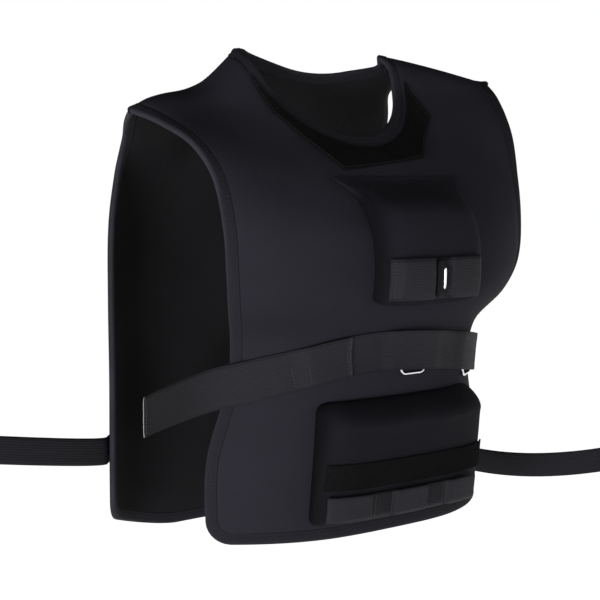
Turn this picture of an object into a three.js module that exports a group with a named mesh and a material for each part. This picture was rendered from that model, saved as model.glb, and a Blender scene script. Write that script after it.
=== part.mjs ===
// A weighted vest: a padded tabard that hangs from the shoulders, with a chest pad, a weight pouch,
// webbing and a waist belt. Millimetres, +Z up. The wearer faces -Y and +X is the wearer's left.
// The origin lies midway between the two neck points, on the line of the shoulder seams.
import * as THREE from 'three';

// Body sizes
const vestDrop = 447; // from the neck points down to the hem
const chestHalf = 196; // half the width across the chest
const frontDepth = 147; // from the shoulder line forward to the chest
const backDepth = 118; // from the shoulder line back to the shoulder blades
const wall = 6; // padded cloth
const edgeBand = 9; // width of the tape that binds every edge
const tapeFlat = 0.7; // share of that width before the tape's edge rounds off
const tapeNose = 0.45; // thickness at its rounded edge, as a share
const tapeStep = 0.7; // how far the edge tape stands proud of the padded cloth
const hemCorner = 20; // radius of the hem's corners
const neckHalf = 92; // half the width of the neck hole
const neckFront = 0.797; // share of the way from hem to seam where the front neckline is lowest
const neckBack = 0.912; // the same for the back neckline
const backNeckLean = 18; // how far to the wearer's left the back neckline is lowest
const frontWrap = 3; // how late the front turns back at its sides
const backWrap = 5; // how late the back turns forward at its sides
const frontMiddle = 8; // the front's pieces lie this far to the wearer's left of the neck's middle
const gap = 0.35; // between pieces that touch
const tapeGap = 0.6; // between the padded cloth and its edge tape
const rest = 0.8; // between a curved wall and what lies on it

// Loop pile patch under the neckline
const patchThick = 1.6;
const patchTopHalf = 104;
const patchTopDrop = 58; // below the neck points
const patchLowHalf = 61;
const patchLowDrop = 112;
const patchRise = 12; // how much higher its lower edge is on the wearer's left
const patchNarrow = 7; // and how much nearer the middle it ends there
const patchMargin = 3; // below the neck tape

// Chest pad
const padHalf = 66;
const padTopDrop = 118;
const padLength = 113; // from its top edge down
const padThick = 23;
const padRim = 3; // height of its rim above the seam
const padFlare = 20; // how much further each side reaches at its top
const padCorner = 8; // radius of its lower corners

// Webbing
const wideWebbing = 38;
const narrowWebbing = 26;
const webbingThick = 2;
const loopRise = 2; // how far a sewn loop stands off what carries it
const chestLoop = 41; // length of each loop on the chest pad
const chestLoopGap = 20; // between the two, where the slide is
const chestTack = 5; // sewn length at each end of the two
const chestLoopShift = 6.5; // how far the two stand to the wearer's right of the front's middle
const chestBandDrop = 209; // middle of the chest webbing
const slideWidth = 7;
const slideLength = 36;
const pinWire = 3;
const pinLength = 21;

// Weight pouch, set below the belt, with its strip and looped webbing set below its top edge
const beltDrop = 279; // middle of the belt at the middle of the front
const beltToPouch = 43; // from the belt's middle down to the pouch
const pouchTopDrop = beltDrop + beltToPouch;
const pouchLength = 112; // from its top edge down
const pouchHalf = 103; // at its top
const pouchFlare = 10; // how much further its right side reaches at the bottom
const pouchThick = 31;
const pouchRim = 4;
const pouchCorner = 9; // radius of its corners
const pileStripBelow = 66; // from the pouch's top edge to the middle of its pile strip
const pileStripDrop = pouchTopDrop + pileStripBelow;
const pileStripWidth = 24;
const pileReach = 0.985; // share of the pouch's width that the strip spans
const pouchBandBelow = 95; // from the pouch's top edge to the middle of its looped webbing
const pouchBandDrop = pouchTopDrop + pouchBandBelow;
const pouchBandWidth = 24;
const pouchLoop = 44;
const pouchLoopGap = 24;
const pouchLoopInset = 6; // from the pouch's right edge to its first loop
const loopTack = 7; // sewn length at each end of a row of loops

// Belt, its two rings and the back strap
const beltThick = 2.4;
const beltTail = 110; // free length past the front's right edge
const beltTuck = 26; // length turned in behind the front's left edge
const beltTuckLean = 2; // how far the tucked end leans away from the padded cloth
const beltBend = 34; // how gently the belt's free end leaves the front
const ringClear = 10; // the belt starts to come down this far past a ring
const ringFade = 30; // and lies flat this far past it
const ringWidth = 32;
const ringLength = 34;
const ringCorner = 6;
const ringWire = 3;
const ringPeek = 4; // how far a ring shows below the belt
const ringFrontSide = 18; // from the neck's middle to the ring on the front
const ringEdgeInset = 30; // from the front's left edge to the middle of the other ring
const backStrapDrop = 388;
const rightTail = 138; // free lengths of the back strap past the back's edges
const leftTail = 240;
const tailSag = 55; // how far the left tail dips on its way
const rightTailBend = 26; // how gently each tail leaves the back
const leftTailBend = 90;

// Each row is a height on the panel. at is the share of the way from the hem (0) to the shoulder seam
// (1), x is a share of chestHalf, y of the panel's depth, and z of vestDrop below the neck points.
const frontShape = {
  depth: -frontDepth,
  wrap: frontWrap,
  neck: neckFront,
  lean: 0,
  mid: [
    { at: 0, y: 0.81, z: 1.005 },
    { at: 0.14, y: 0.805, z: 0.843 },
    { at: 0.25, y: 0.8, z: 0.724 },
    { at: 0.285, y: 0.803, z: 0.685 },
    { at: 0.37, y: 0.837, z: 0.587 },
    { at: 0.43, y: 0.965, z: 0.519 },
    { at: 0.49, y: 1, z: 0.452 },
    { at: 0.575, y: 0.952, z: 0.362 },
    { at: 0.705, y: 0.68, z: 0.2485 },
    { at: 0.797, y: 0.449, z: 0.175 },
    { at: 0.9, y: 0.23, z: 0.086 },
    { at: 0.955, y: 0.125, z: 0.022 },
    { at: 1, y: 0, z: -0.006 },
  ],
  right: [
    { at: 0, x: 0.945, y: 0.4, z: 1 },
    { at: 0.14, x: 0.94, y: 0.39, z: 0.843 },
    { at: 0.25, x: 0.872, y: 0.435, z: 0.724 },
    { at: 0.285, x: 0.845, y: 0.456, z: 0.685 },
    { at: 0.37, x: 0.852, y: 0.49, z: 0.587 },
    { at: 0.43, x: 0.935, y: 0.61, z: 0.519 },
    { at: 0.49, x: 0.98, y: 0.675, z: 0.452 },
    { at: 0.575, x: 1, y: 0.687, z: 0.362 },
    { at: 0.705, x: 1.01, y: 0.62, z: 0.263 },
    { at: 0.797, x: 1.046, y: 0.49, z: 0.2 },
    { at: 0.9, x: 1.09, y: 0.265, z: 0.16 },
    { at: 1, x: 1.122, y: 0, z: 0.135 },
  ],
  left: [
    { at: 0, x: 0.878, y: 0.408, z: 1 },
    { at: 0.14, x: 0.888, y: 0.388, z: 0.843 },
    { at: 0.25, x: 0.805, y: 0.435, z: 0.724 },
    { at: 0.285, x: 0.775, y: 0.456, z: 0.685 },
    { at: 0.37, x: 0.81, y: 0.49, z: 0.587 },
    { at: 0.43, x: 0.93, y: 0.61, z: 0.519 },
    { at: 0.49, x: 0.985, y: 0.68, z: 0.452 },
    { at: 0.575, x: 1, y: 0.69, z: 0.362 },
    { at: 0.705, x: 1.03, y: 0.62, z: 0.253 },
    { at: 0.797, x: 1.085, y: 0.49, z: 0.162 },
    { at: 0.9, x: 1.155, y: 0.25, z: 0.086 },
    { at: 1, x: 1.21, y: 0, z: 0.049 },
  ],
};
const backShape = {
  depth: backDepth,
  wrap: backWrap,
  neck: neckBack,
  lean: backNeckLean,
  mid: [
    { at: 0, y: 0.983, z: 1.055 },
    { at: 0.15, y: 0.983, z: 0.88 },
    { at: 0.3, y: 1, z: 0.7 },
    { at: 0.45, y: 1, z: 0.53 },
    { at: 0.6, y: 0.985, z: 0.37 },
    { at: 0.72, y: 0.84, z: 0.24 },
    { at: 0.82, y: 0.45, z: 0.12 },
    { at: 0.9, y: 0.11, z: 0.044 },
    { at: 0.955, y: 0.04, z: 0.014 },
    { at: 1, y: 0, z: -0.006 },
  ],
  right: [
    { at: 0, x: 1, y: 0.54, z: 0.985 },
    { at: 0.15, x: 1, y: 0.54, z: 0.85 },
    { at: 0.3, x: 1, y: 0.53, z: 0.69 },
    { at: 0.45, x: 1.003, y: 0.53, z: 0.53 },
    { at: 0.6, x: 0.99, y: 0.55, z: 0.37 },
    { at: 0.72, x: 0.95, y: 0.57, z: 0.26 },
    { at: 0.82, x: 0.94, y: 0.52, z: 0.19 },
    { at: 0.9, x: 1.02, y: 0.33, z: 0.157 },
    { at: 1, x: 1.122, y: 0, z: 0.135 },
  ],
  left: [
    { at: 0, x: 1, y: 0.54, z: 0.985 },
    { at: 0.15, x: 1, y: 0.54, z: 0.85 },
    { at: 0.3, x: 1, y: 0.53, z: 0.69 },
    { at: 0.45, x: 1.003, y: 0.53, z: 0.53 },
    { at: 0.6, x: 0.96, y: 0.57, z: 0.37 },
    { at: 0.72, x: 0.9, y: 0.62, z: 0.24 },
    { at: 0.82, x: 0.875, y: 0.6, z: 0.13 },
    { at: 0.9, x: 0.76, y: 0.44, z: 0.066 },
    { at: 0.95, x: 0.77, y: 0.2, z: 0.043 },
    { at: 1, x: 1.21, y: 0, z: 0.049 },
  ],
};
// The shoulder's run from beside the neck (0) to its tip (1). drop is a share of its whole fall.
const shoulderRun = {
  right: [
    { at: 0, drop: 0 },
    { at: 0.1, drop: 0.16 },
    { at: 0.25, drop: 0.41 },
    { at: 0.35, drop: 0.545 },
    { at: 0.5, drop: 0.66 },
    { at: 0.72, drop: 0.745 },
    { at: 0.87, drop: 0.84 },
    { at: 1, drop: 1 },
  ],
  left: [
    { at: 0, drop: 0 },
    { at: 0.02, drop: 0.004 },
    { at: 0.1, drop: 0.05 },
    { at: 0.25, drop: 0.165 },
    { at: 0.5, drop: 0.406 },
    { at: 0.75, drop: 0.688 },
    { at: 1, drop: 1 },
  ],
};
const seamForward = { right: 0, left: 20 }; // how far forward the seam runs at the shoulder's tip
const straightBelow = 0.5; // below this share of the way up, a panel's rows stay level
const hemRun = 1.5; // how late the hem rises towards its ends

// The belt's middle. at is the share of the half-width, and drop is a share of beltDrop.
const beltRun = [
  { at: -1, drop: 1.086 },
  { at: -0.8, drop: 1.056 },
  { at: -0.4, drop: 1.008 },
  { at: 0, drop: 1 },
  { at: 0.6, drop: 1.03 },
  { at: 1, drop: 1.062 },
];
const backStrapRun = [
  { at: -1, drop: 0.974 },
  { at: 0, drop: 1 },
  { at: 1, drop: 1.026 },
];
const upperStrapFrom = -0.385; // where the upper strap of the belt ends on the front
const lowerStrapTo = -0.6; // where the lower strap ends beneath it

// Free ends: where each leaves to, as shares of its free length.
const beltTailWay = new THREE.Vector3(-0.22, 0.91, -0.35);
const rightTailWay = new THREE.Vector3(-0.98, -0.06, 0.13);
const leftTailWay = new THREE.Vector3(0.46, -0.86, -0.09);

const black = { cloth: 0x26262b, pile: 0x101011, tape: 0x2c2c32, webbing: 0x2b2b31, pad: 0x222227 };
const metal = 0xb9bcc2;

// The value of one column between the rows, along a smooth curve through all of them.
function along(rows, key, at) {
  const last = rows.length - 1;
  let i = rows.findIndex((row) => row.at > at) - 1;
  if (i < 0) i = at <= rows[0].at ? 0 : last - 1;
  const slope = (k) => {
    const a = rows[Math.max(k - 1, 0)];
    const b = rows[Math.min(k + 1, last)];
    return (b[key] - a[key]) / (b.at - a.at);
  };
  const span = rows[i + 1].at - rows[i].at;
  const s = (at - rows[i].at) / span;
  const s2 = s * s;
  const s3 = s2 * s;
  return (2 * s3 - 3 * s2 + 1) * rows[i][key] + (s3 - 2 * s2 + s) * span * slope(i)
    + (3 * s2 - 2 * s3) * rows[i + 1][key] + (s3 - s2) * span * slope(i + 1);
}

const mix = (a, b, s) => a + (b - a) * s;
const sideOf = (shape, across) => (across < 0 ? shape.right : shape.left);
const halfWidth = (shape, across, at) => along(sideOf(shape, across), 'x', at) * chestHalf;

// A point in the middle of a panel's wall. across runs from -1 at the wearer's right edge to 1.
function onPanel(shape, across, at) {
  const side = sideOf(shape, across);
  const share = Math.abs(across);
  const neckShare = neckHalf / halfWidth(shape, across, 1);
  const past = Math.max(0, (share - neckShare) / (1 - neckShare));
  const fall = along(across < 0 ? shoulderRun.right : shoulderRun.left, 'drop', past);
  const down = mix(past ** hemRun, fall, Math.min(1, at / straightBelow));
  const forward = (across < 0 ? seamForward.right : seamForward.left) * down * at ** 8;
  const y = mix(along(shape.mid, 'y', at), along(side, 'y', at), share ** shape.wrap) * shape.depth - forward;
  const z = -mix(along(shape.mid, 'z', at), along(side, 'z', at), down) * vestDrop;
  return new THREE.Vector3(across * halfWidth(shape, across, at), y, z);
}

// The outward direction there, from the slopes across and along the panel.
function outward(shape, across, at) {
  const step = 0.002;
  const low = Math.max(at - step, 0);
  const high = Math.min(at + step, 1);
  const u = onPanel(shape, across + step, at).sub(onPanel(shape, across - step, at));
  const v = onPanel(shape, across, high).sub(onPanel(shape, across, low));
  const n = u.cross(v).normalize();
  return shape.depth < 0 ? n : n.negate();
}

// The share of the way up at which the panel reaches a height z, at a distance x from the middle.
function shareAt(shape, x, z) {
  let low = 0;
  let high = 1;
  for (let i = 0; i < 30; i += 1) {
    const at = (low + high) / 2;
    if (onPanel(shape, x / halfWidth(shape, x, at), at).z < z) low = at;
    else high = at;
  }
  return (low + high) / 2;
}

function mesh(name, positions, triangles, colour, roughness = 0.9, metalness = 0) {
  const geometry = new THREE.BufferGeometry();
  geometry.setAttribute('position', new THREE.Float32BufferAttribute(positions.flatMap((p) => [p.x, p.y, p.z]), 3));
  geometry.setIndex(triangles.flat());
  geometry.computeVertexNormals();
  const made = new THREE.Mesh(geometry, new THREE.MeshStandardMaterial({ color: colour, roughness, metalness }));
  made.name = name;
  return made;
}

// Turns a solid's triangles round if they face inwards.
function facingOut(points, triangles) {
  let volume = 0;
  for (const [a, b, c] of triangles) {
    volume += points[a].dot(points[b].clone().cross(points[c]));
  }
  return volume < 0 ? triangles.map(([a, b, c]) => [a, c, b]) : triangles;
}

// The two triangles of a four-sided face, split along its shorter diagonal, so that two edges that lie
// side by side are split alike.
function splitFace(points, a, b, c, d) {
  const alongAC = points[a].distanceToSquared(points[c]) <= points[b].distanceToSquared(points[d]) + 1e-6;
  return alongAC ? [[a, b, c], [a, c, d]] : [[b, c, d], [b, d, a]];
}

// A solid between two grids of points of the same size, closed round their rim.
function slab(name, front, back, colour, roughness) {
  const rows = front.length;
  const cols = front[0].length;
  const points = [...front.flat(), ...back.flat()];
  const id = (side, i, j) => side * rows * cols + i * cols + j;
  const triangles = [];
  const quad = (...corners) => triangles.push(...splitFace(points, ...corners));
  for (let i = 0; i + 1 < rows; i += 1) {
    for (let j = 0; j + 1 < cols; j += 1) {
      quad(id(0, i, j), id(0, i, j + 1), id(0, i + 1, j + 1), id(0, i + 1, j));
      quad(id(1, i, j), id(1, i + 1, j), id(1, i + 1, j + 1), id(1, i, j + 1));
    }
  }
  for (let j = 0; j + 1 < cols; j += 1) {
    quad(id(0, 0, j), id(1, 0, j), id(1, 0, j + 1), id(0, 0, j + 1));
    quad(id(0, rows - 1, j + 1), id(1, rows - 1, j + 1), id(1, rows - 1, j), id(0, rows - 1, j));
  }
  for (let i = 0; i + 1 < rows; i += 1) {
    quad(id(0, i + 1, 0), id(1, i + 1, 0), id(1, i, 0), id(0, i, 0));
    quad(id(0, i, cols - 1), id(1, i, cols - 1), id(1, i + 1, cols - 1), id(0, i + 1, cols - 1));
  }
  return mesh(name, points, facingOut(points, triangles), colour, roughness);
}

// A solid through a row of like sections, closed at its ends, or joined into a ring.
function sweep(name, sections, colour, { ring = false, roughness = 0.9, metalness = 0 } = {}) {
  const sides = sections[0].length;
  const points = sections.flat();
  const triangles = [];
  const lengths = ring ? sections.length : sections.length - 1;
  for (let i = 0; i < lengths; i += 1) {
    const a = i * sides;
    const b = ((i + 1) % sections.length) * sides;
    for (let k = 0; k < sides; k += 1) {
      const m = (k + 1) % sides;
      triangles.push(...splitFace(points, a + k, a + m, b + m, b + k));
    }
  }
  if (!ring) {
    const end = (sections.length - 1) * sides;
    for (let k = 1; k + 1 < sides; k += 1) {
      triangles.push([0, k + 1, k], [end, end + k, end + k + 1]);
    }
  }
  return mesh(name, points, facingOut(points, triangles), colour, roughness, metalness);
}

// Padded panel: a grid of points and outward directions, with the room for the edge tape taken off.
const neckColumns = 10;
const strapColumns = 4;
const panelRows = 19;
const rowCrowding = 1.25; // above 1 the rows crowd towards the shoulders

function panelGrid(shape) {
  const hem = shareAt(shape, 0, onPanel(shape, 0, 0).z + edgeBand);
  const cornerRise = hemCorner - edgeBand;
  const rowShares = [0, 0.35, 1].map((s) => hem + (s * cornerRise) / vestDrop);
  const start = rowShares.at(-1);
  for (let i = 1; i <= panelRows - 3; i += 1) {
    rowShares.push(1 - (1 - start) * (1 - i / (panelRows - 3)) ** rowCrowding);
  }
  const columns = [];
  for (let j = 0; j <= strapColumns; j += 1) columns.push({ strap: 1 - j / strapColumns, side: -1 });
  for (let j = 1; j < neckColumns; j += 1) columns.push({ turn: Math.PI * (j / neckColumns - 0.5) });
  for (let j = 0; j <= strapColumns; j += 1) columns.push({ strap: j / strapColumns, side: 1 });
  const deep = 1 - shape.neck + edgeBand / vestDrop;
  return rowShares.map((share, i) => columns.map(({ strap: away, turn, side }) => {
    const lift = Math.max(0, (share - straightBelow) / (1 - straightBelow));
    const at = side ? share : share - lift * deep * Math.cos(turn);
    const rise = Math.min(Math.max(0, cornerRise - (at - hem) * vestDrop), cornerRise);
    const cut = cornerRise - Math.sqrt(cornerRise ** 2 - rise ** 2);
    const inner = neckHalf + edgeBand;
    const edge = halfWidth(shape, side, at) - edgeBand - cut;
    const lean = shape.lean * lift * Math.cos(turn);
    const x = side ? side * mix(inner, edge, away) : inner * Math.sin(turn) + lean;
    const across = x / halfWidth(shape, x, at);
    const out = outward(shape, across, at);
    const middle = onPanel(shape, across, at);
    if (i === rowShares.length - 1 && side) {
      out.setY(0).normalize();
      middle.y += Math.sign(shape.depth) * gap;
    }
    return { middle, out };
  }));
}

const skin = (grid, lift) => grid.map((row) => row.map((p) => p.middle.clone().addScaledVector(p.out, lift)));

function panel(name, grid) {
  return slab(name, skin(grid, wall / 2), skin(grid, -wall / 2), black.cloth);
}

// Edge tape: a rounded band that runs on from a panel's edge along a path of grid points.
function edgeTape(name, path, turn, ring, from = tapeGap) {
  const high = wall / 2 + tapeStep;
  const last = path.length - 1;
  const sections = path.map((p, k) => {
    const before = path[ring ? (k + last) % (last + 1) : Math.max(k - 1, 0)].middle;
    const after = path[ring ? (k + 1) % (last + 1) : Math.min(k + 1, last)].middle;
    const away = after.clone().sub(before).cross(p.out).normalize().multiplyScalar(turn);
    const corner = (reach, lift) => p.middle.clone().addScaledVector(away, reach).addScaledVector(p.out, lift);
    return [
      corner(from, -high),
      corner(from, high),
      corner(edgeBand * tapeFlat, high),
      corner(edgeBand, high * tapeNose),
      corner(edgeBand, -high * tapeNose),
      corner(edgeBand * tapeFlat, -high),
    ];
  });
  return sweep(name, sections, black.tape, { ring });
}

const frontGrid = panelGrid(frontShape);
const backGrid = panelGrid(backShape);

// The facets of a grid of points, and how far from y = 0 they lie at x and z. Past them it is null.
function facetsOf(points) {
  const cols = points[0].length;
  const flat = points.flat();
  const faces = [];
  for (let i = 0; i + 1 < points.length; i += 1) {
    for (let j = 0; j + 1 < cols; j += 1) {
      const a = i * cols + j;
      faces.push(...splitFace(flat, a, a + 1, a + cols + 1, a + cols).map((face) => face.map((k) => flat[k])));
    }
  }
  return faces;
}

function facetDepth(faces, x, z) {
  let deepest = null;
  for (const [a, b, c] of faces) {
    const area = (b.x - a.x) * (c.z - a.z) - (c.x - a.x) * (b.z - a.z);
    const s = ((x - a.x) * (c.z - a.z) - (c.x - a.x) * (z - a.z)) / area;
    const t = ((b.x - a.x) * (z - a.z) - (x - a.x) * (b.z - a.z)) / area;
    if (s >= 0 && t >= 0 && s + t <= 1) {
      const y = a.y + s * (b.y - a.y) + t * (c.y - a.y);
      if (deepest === null || Math.abs(y) > Math.abs(deepest)) deepest = y;
    }
  }
  return deepest;
}

// A point that stands off a panel, or off what lies on it, by lift, seen from the front or the back at
// x and z, and the way that the panel faces there. Past the facets it stands off the edge tape.
function seat(shape, facets, x, z, lift) {
  const at = shareAt(shape, x, z);
  const across = x / halfWidth(shape, x, at);
  const out = outward(shape, across, at);
  const y = facetDepth(facets, x, z);
  const foot = y === null
    ? onPanel(shape, across, at).addScaledVector(out, wall / 2 + tapeStep)
    : new THREE.Vector3(x, y, z);
  return { middle: foot.addScaledVector(out, lift), out };
}
const frontFacets = facetsOf(skin(frontGrid, wall / 2));
const backFacets = facetsOf(skin(backGrid, wall / 2));
const frontSeat = (x, z, lift, facets = frontFacets) => seat(frontShape, facets, x, z, lift);

// Down one side, along the hem and up the other side.
function outerPath(grid) {
  const down = grid.map((row) => row[0]).reverse();
  const up = grid.map((row) => row.at(-1));
  return [...down, ...grid[0].slice(1, -1), ...up];
}
const neckPath = (grid) => grid.at(-1).slice(strapColumns, strapColumns + neckColumns + 1);

// Both necklines as one loop. The seam's two edges meet at one middle point on each shoulder.
function neckLoop() {
  const front = neckPath(frontGrid);
  const back = neckPath(backGrid).reverse();
  const seam = (a, b) => ({ middle: a.middle.clone().lerp(b.middle, 0.5), out: a.out });
  return [seam(front[0], back.at(-1)), ...front.slice(1, -1), seam(front.at(-1), back[0]), ...back.slice(1, -1)];
}

// A piece that lies on the front: a grid of places across (u from -1 to 1) and down (v from 0 to 1),
// each with x, z and the height of its outer face above its inner one.
function layer(name, rows, cols, colour, place, { carrier = frontFacets, under = rest, roughness = 0.9 } = {}) {
  const inner = [];
  const outer = [];
  for (let i = 0; i <= rows; i += 1) {
    const places = Array.from({ length: cols + 1 }, (_, j) => place((2 * j) / cols - 1, i / rows));
    const seats = places.map((p) => frontSeat(p.x, p.z, under, carrier));
    inner.push(seats.map((p) => p.middle));
    outer.push(seats.map((p, j) => p.middle.clone().addScaledVector(p.out, places[j].height)));
  }
  return { mesh: slab(name, outer, inner, colour, roughness), facets: facetsOf(outer) };
}

// Moves even steps towards the two ends.
const crowd = (u) => Math.sign(u) * (1 - (1 - Math.abs(u)) ** 1.6);

// Loop pile patch: from the neck tape's edge down to a trapezium with its short side low.
const patchReach = 0.42 * Math.PI; // how far up the neckline it goes, as a turn about the neck's middle
const patchCorner = 0.5; // where across the patch its lower corners are

function neckPatch() {
  const from = neckHalf + edgeBand + patchMargin;
  const deepest = -onPanel(frontShape, 0, neckFront).z + edgeBand + patchMargin;
  return layer('neck_patch', 4, 16, black.pile, (u, v) => {
    const turn = u * patchReach;
    const s = Math.max(0, (Math.abs(u) - patchCorner) / (1 - patchCorner));
    const lowHalf = patchLowHalf - (u > 0 ? patchNarrow : 0);
    const half = mix(lowHalf * Math.min(1, Math.abs(u) / patchCorner), patchTopHalf, s);
    const lowDrop = patchLowDrop - patchRise * Math.min(1, Math.max(0, (u / patchCorner + 1) / 2));
    return {
      x: mix(from * Math.sin(turn), frontMiddle + Math.sign(u) * half, v),
      z: -mix(deepest * Math.cos(turn), mix(lowDrop, patchTopDrop, s), v),
      height: patchThick,
    };
  });
}

// How much of an outline's half-width a rounded corner takes off, at a distance from the edge it ends at.
function cornerCut(fromEdge, radius) {
  const rise = Math.max(0, radius - fromEdge);
  return radius - Math.sqrt(radius ** 2 - rise ** 2);
}

// The pad is widest at its top, drawn in over its first part, and rounded at its lower corners.
const padDrawn = 0.2; // share of its length over which it is drawn in
const padHalfAt = (v) => padHalf + padFlare * Math.max(0, 1 - v / padDrawn) ** 1.6
  - cornerCut((1 - v) * padLength, padCorner);

// The pad rises slowly from its top and falls at its sides and foot.
function padHeightAt(u, v) {
  const sides = Math.sqrt(Math.max(0, 1 - Math.abs(u) ** 4));
  const rise = Math.min(1, v * 2.4 + 0.12) ** 0.9;
  const foot = Math.sqrt(Math.max(0, 1 - Math.max(0, (v - 0.9) / 0.1) ** 4));
  return padRim + (padThick - padRim) * sides * rise * foot;
}

const chestPad = layer('chest_pad', 12, 14, black.pad, (t, s) => {
  const u = crowd(t);
  const v = (1 + crowd(2 * s - 1)) / 2;
  return { x: frontMiddle + u * padHalfAt(v), z: -padTopDrop - padLength * v, height: padHeightAt(u, v) };
}, { under: rest + gap });

// The pouch slopes up to a roll near its top, then thins towards the bottom.
function pouchHeightAt(u, v) {
  const roll = v < 0.2 ? Math.sin((v / 0.2) * (Math.PI / 2)) ** 0.8 : mix(1, 0.5, ((v - 0.2) / 0.8) ** 0.8);
  const sides = Math.sqrt(Math.max(0, 1 - Math.abs(u) ** 6));
  const foot = Math.sqrt(Math.max(0, 1 - Math.max(0, (v - 0.93) / 0.07) ** 2));
  return pouchRim + (pouchThick - pouchRim) * roll * sides * foot;
}
function pouchX(u, v) {
  const fromEnd = Math.min(v, 1 - v) * pouchLength;
  return frontMiddle + pouchHalf * u - (pouchFlare * v * (1 - u)) / 2 - u * cornerCut(fromEnd, pouchCorner);
}

const weightPouch = layer('weight_pouch', 12, 16, black.cloth, (t, v) => {
  const u = crowd(t);
  return { x: pouchX(u, v), z: -pouchTopDrop - pouchLength * v, height: pouchHeightAt(u, v) };
}, { under: rest + gap });

// How far looped webbing stands off at x: arched over each loop, flat between them.
function loopArch(x, loops) {
  const loop = loops.find((l) => x > l.from && x < l.to);
  if (!loop) return 0;
  const s = (x - loop.from) / (loop.to - loop.from);
  return loopRise * Math.min(1, 2.4 * Math.sqrt(s * (1 - s)));
}

// Loops of one length in a row, the first one starting at x.
function loopRow(x, count, length, space) {
  return Array.from({ length: count }, (_, i) => {
    const from = x + i * (length + space);
    return { from, to: from + length };
  });
}

// Webbing over a bulging piece, with its stations crowded at the ends of its loops.
function loopedWebbing(name, loops, tack, drop, width, carrier, under) {
  const inside = [0, 0.04, 0.15, 0.35, 0.65, 0.85, 0.96, 1];
  const stations = loops.flatMap((l) => inside.map((s) => mix(l.from, l.to, s)));
  const sewn = [1, 0.66, 0.33].map((s) => s * tack);
  stations.unshift(...sewn.map((s) => loops[0].from - s));
  stations.push(...sewn.reverse().map((s) => loops.at(-1).to + s));
  const rows = 4;
  const face = (extra) => Array.from({ length: rows + 1 }, (_, i) => stations.map((x) => {
    const z = -drop + width * (0.5 - i / rows);
    return frontSeat(x, z, under + loopArch(x, loops) + extra, carrier).middle;
  }));
  return slab(name, face(webbingThick), face(0), black.webbing);
}

const chestLoopStart = frontMiddle - chestLoopShift - chestLoopGap / 2 - chestLoop;
const chestWebbing = loopedWebbing(
  'chest_webbing', loopRow(chestLoopStart, 2, chestLoop, chestLoopGap), chestTack, chestBandDrop, wideWebbing,
  chestPad.facets, 2.4 * rest,
);

// The slide between the chest loops: a black plate and, beside it, a steel pin that stands on end.
const slideSeat = { carrier: chestPad.facets, under: 3.4 * rest + webbingThick, roughness: 0.5 };
const chestSlide = layer('chest_slide', 6, 2, black.tape, (u, v) => ({
  x: chestLoopStart + chestLoop + gap + slideWidth * (0.5 + u / 2),
  z: -chestBandDrop + slideLength * (0.5 - v),
  height: pinWire,
}), slideSeat);

// A round wire through a row of seats.
function wire(name, seats, size, ring = false) {
  const sides = 6;
  const last = seats.length - 1;
  const sections = seats.map((p, k) => {
    const before = seats[ring ? (k + last) % (last + 1) : Math.max(k - 1, 0)].middle;
    const after = seats[ring ? (k + 1) % (last + 1) : Math.min(k + 1, last)].middle;
    const side = after.clone().sub(before).cross(p.out).normalize();
    return Array.from({ length: sides }, (_, i) => {
      const turn = (2 * Math.PI * i) / sides;
      return p.middle.clone().addScaledVector(side, Math.cos(turn) * size / 2)
        .addScaledVector(p.out, Math.sin(turn) * size / 2);
    });
  });
  return sweep(name, sections, metal, { ring, roughness: 0.3, metalness: 1 });
}

function slidePin() {
  const x = chestLoopStart + chestLoop + slideWidth + 3 * gap + pinWire / 2;
  const heights = [0.5, 0.25, 0, -0.25, -0.5].map((s) => -chestBandDrop + s * pinLength);
  const lift = slideSeat.under + pinWire / 2;
  return wire('slide_pin', heights.map((z) => frontSeat(x, z, lift, chestPad.facets)), pinWire);
}

const pileStrip = layer('pouch_pile_strip', 2, 16, black.pile, (t, v) => {
  const z = -pileStripDrop + pileStripWidth * (0.5 - v);
  const x = pouchX(crowd(t) * pileReach, (-z - pouchTopDrop) / pouchLength);
  return { x, z, height: patchThick };
}, { carrier: weightPouch.facets });

const pouchLoopStart = pouchX(-1, pouchBandBelow / pouchLength) + pouchLoopInset;
const pouchWebbing = loopedWebbing(
  'pouch_webbing', loopRow(pouchLoopStart, 3, pouchLoop, pouchLoopGap), loopTack / 2, pouchBandDrop,
  pouchBandWidth, weightPouch.facets, 2.6 * rest,
);

// A flat strap is a grid of stations, each a row of points across its width on its two faces.
const strapRows = [-0.5, 0, 0.5];

function strap(name, stations) {
  return slab(name, stations.map((s) => s.outer), stations.map((s) => s.inner), black.webbing);
}

function stationAt({ middle, out, up }, width, thick) {
  const face = (side) => strapRows.map((row) => (
    middle.clone().addScaledVector(up, row * width).addScaledVector(out, (side * thick) / 2)
  ));
  return { middle, out, inner: face(-1), outer: face(1) };
}

// A station that lies on a panel across x and the drop of a run of rows, square to that run.
function stationOn(shape, facets, run, drop, half, across, lift, width, thick) {
  const step = 0.01;
  const dropAt = (share) => along(run, 'drop', share) * drop;
  const slope = (dropAt(across + step) - dropAt(across - step)) / (2 * step * half);
  const size = Math.hypot(slope, 1);
  const face = (height) => strapRows.map((row) => {
    const x = across * half + (row * width * slope) / size;
    const z = -dropAt(across) + (row * width) / size;
    return seat(shape, facets, x, z, lift + height);
  });
  const inner = face(0);
  const middle = face(thick / 2)[1];
  return { ...middle, inner: inner.map((p) => p.middle), outer: face(thick).map((p) => p.middle) };
}

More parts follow.
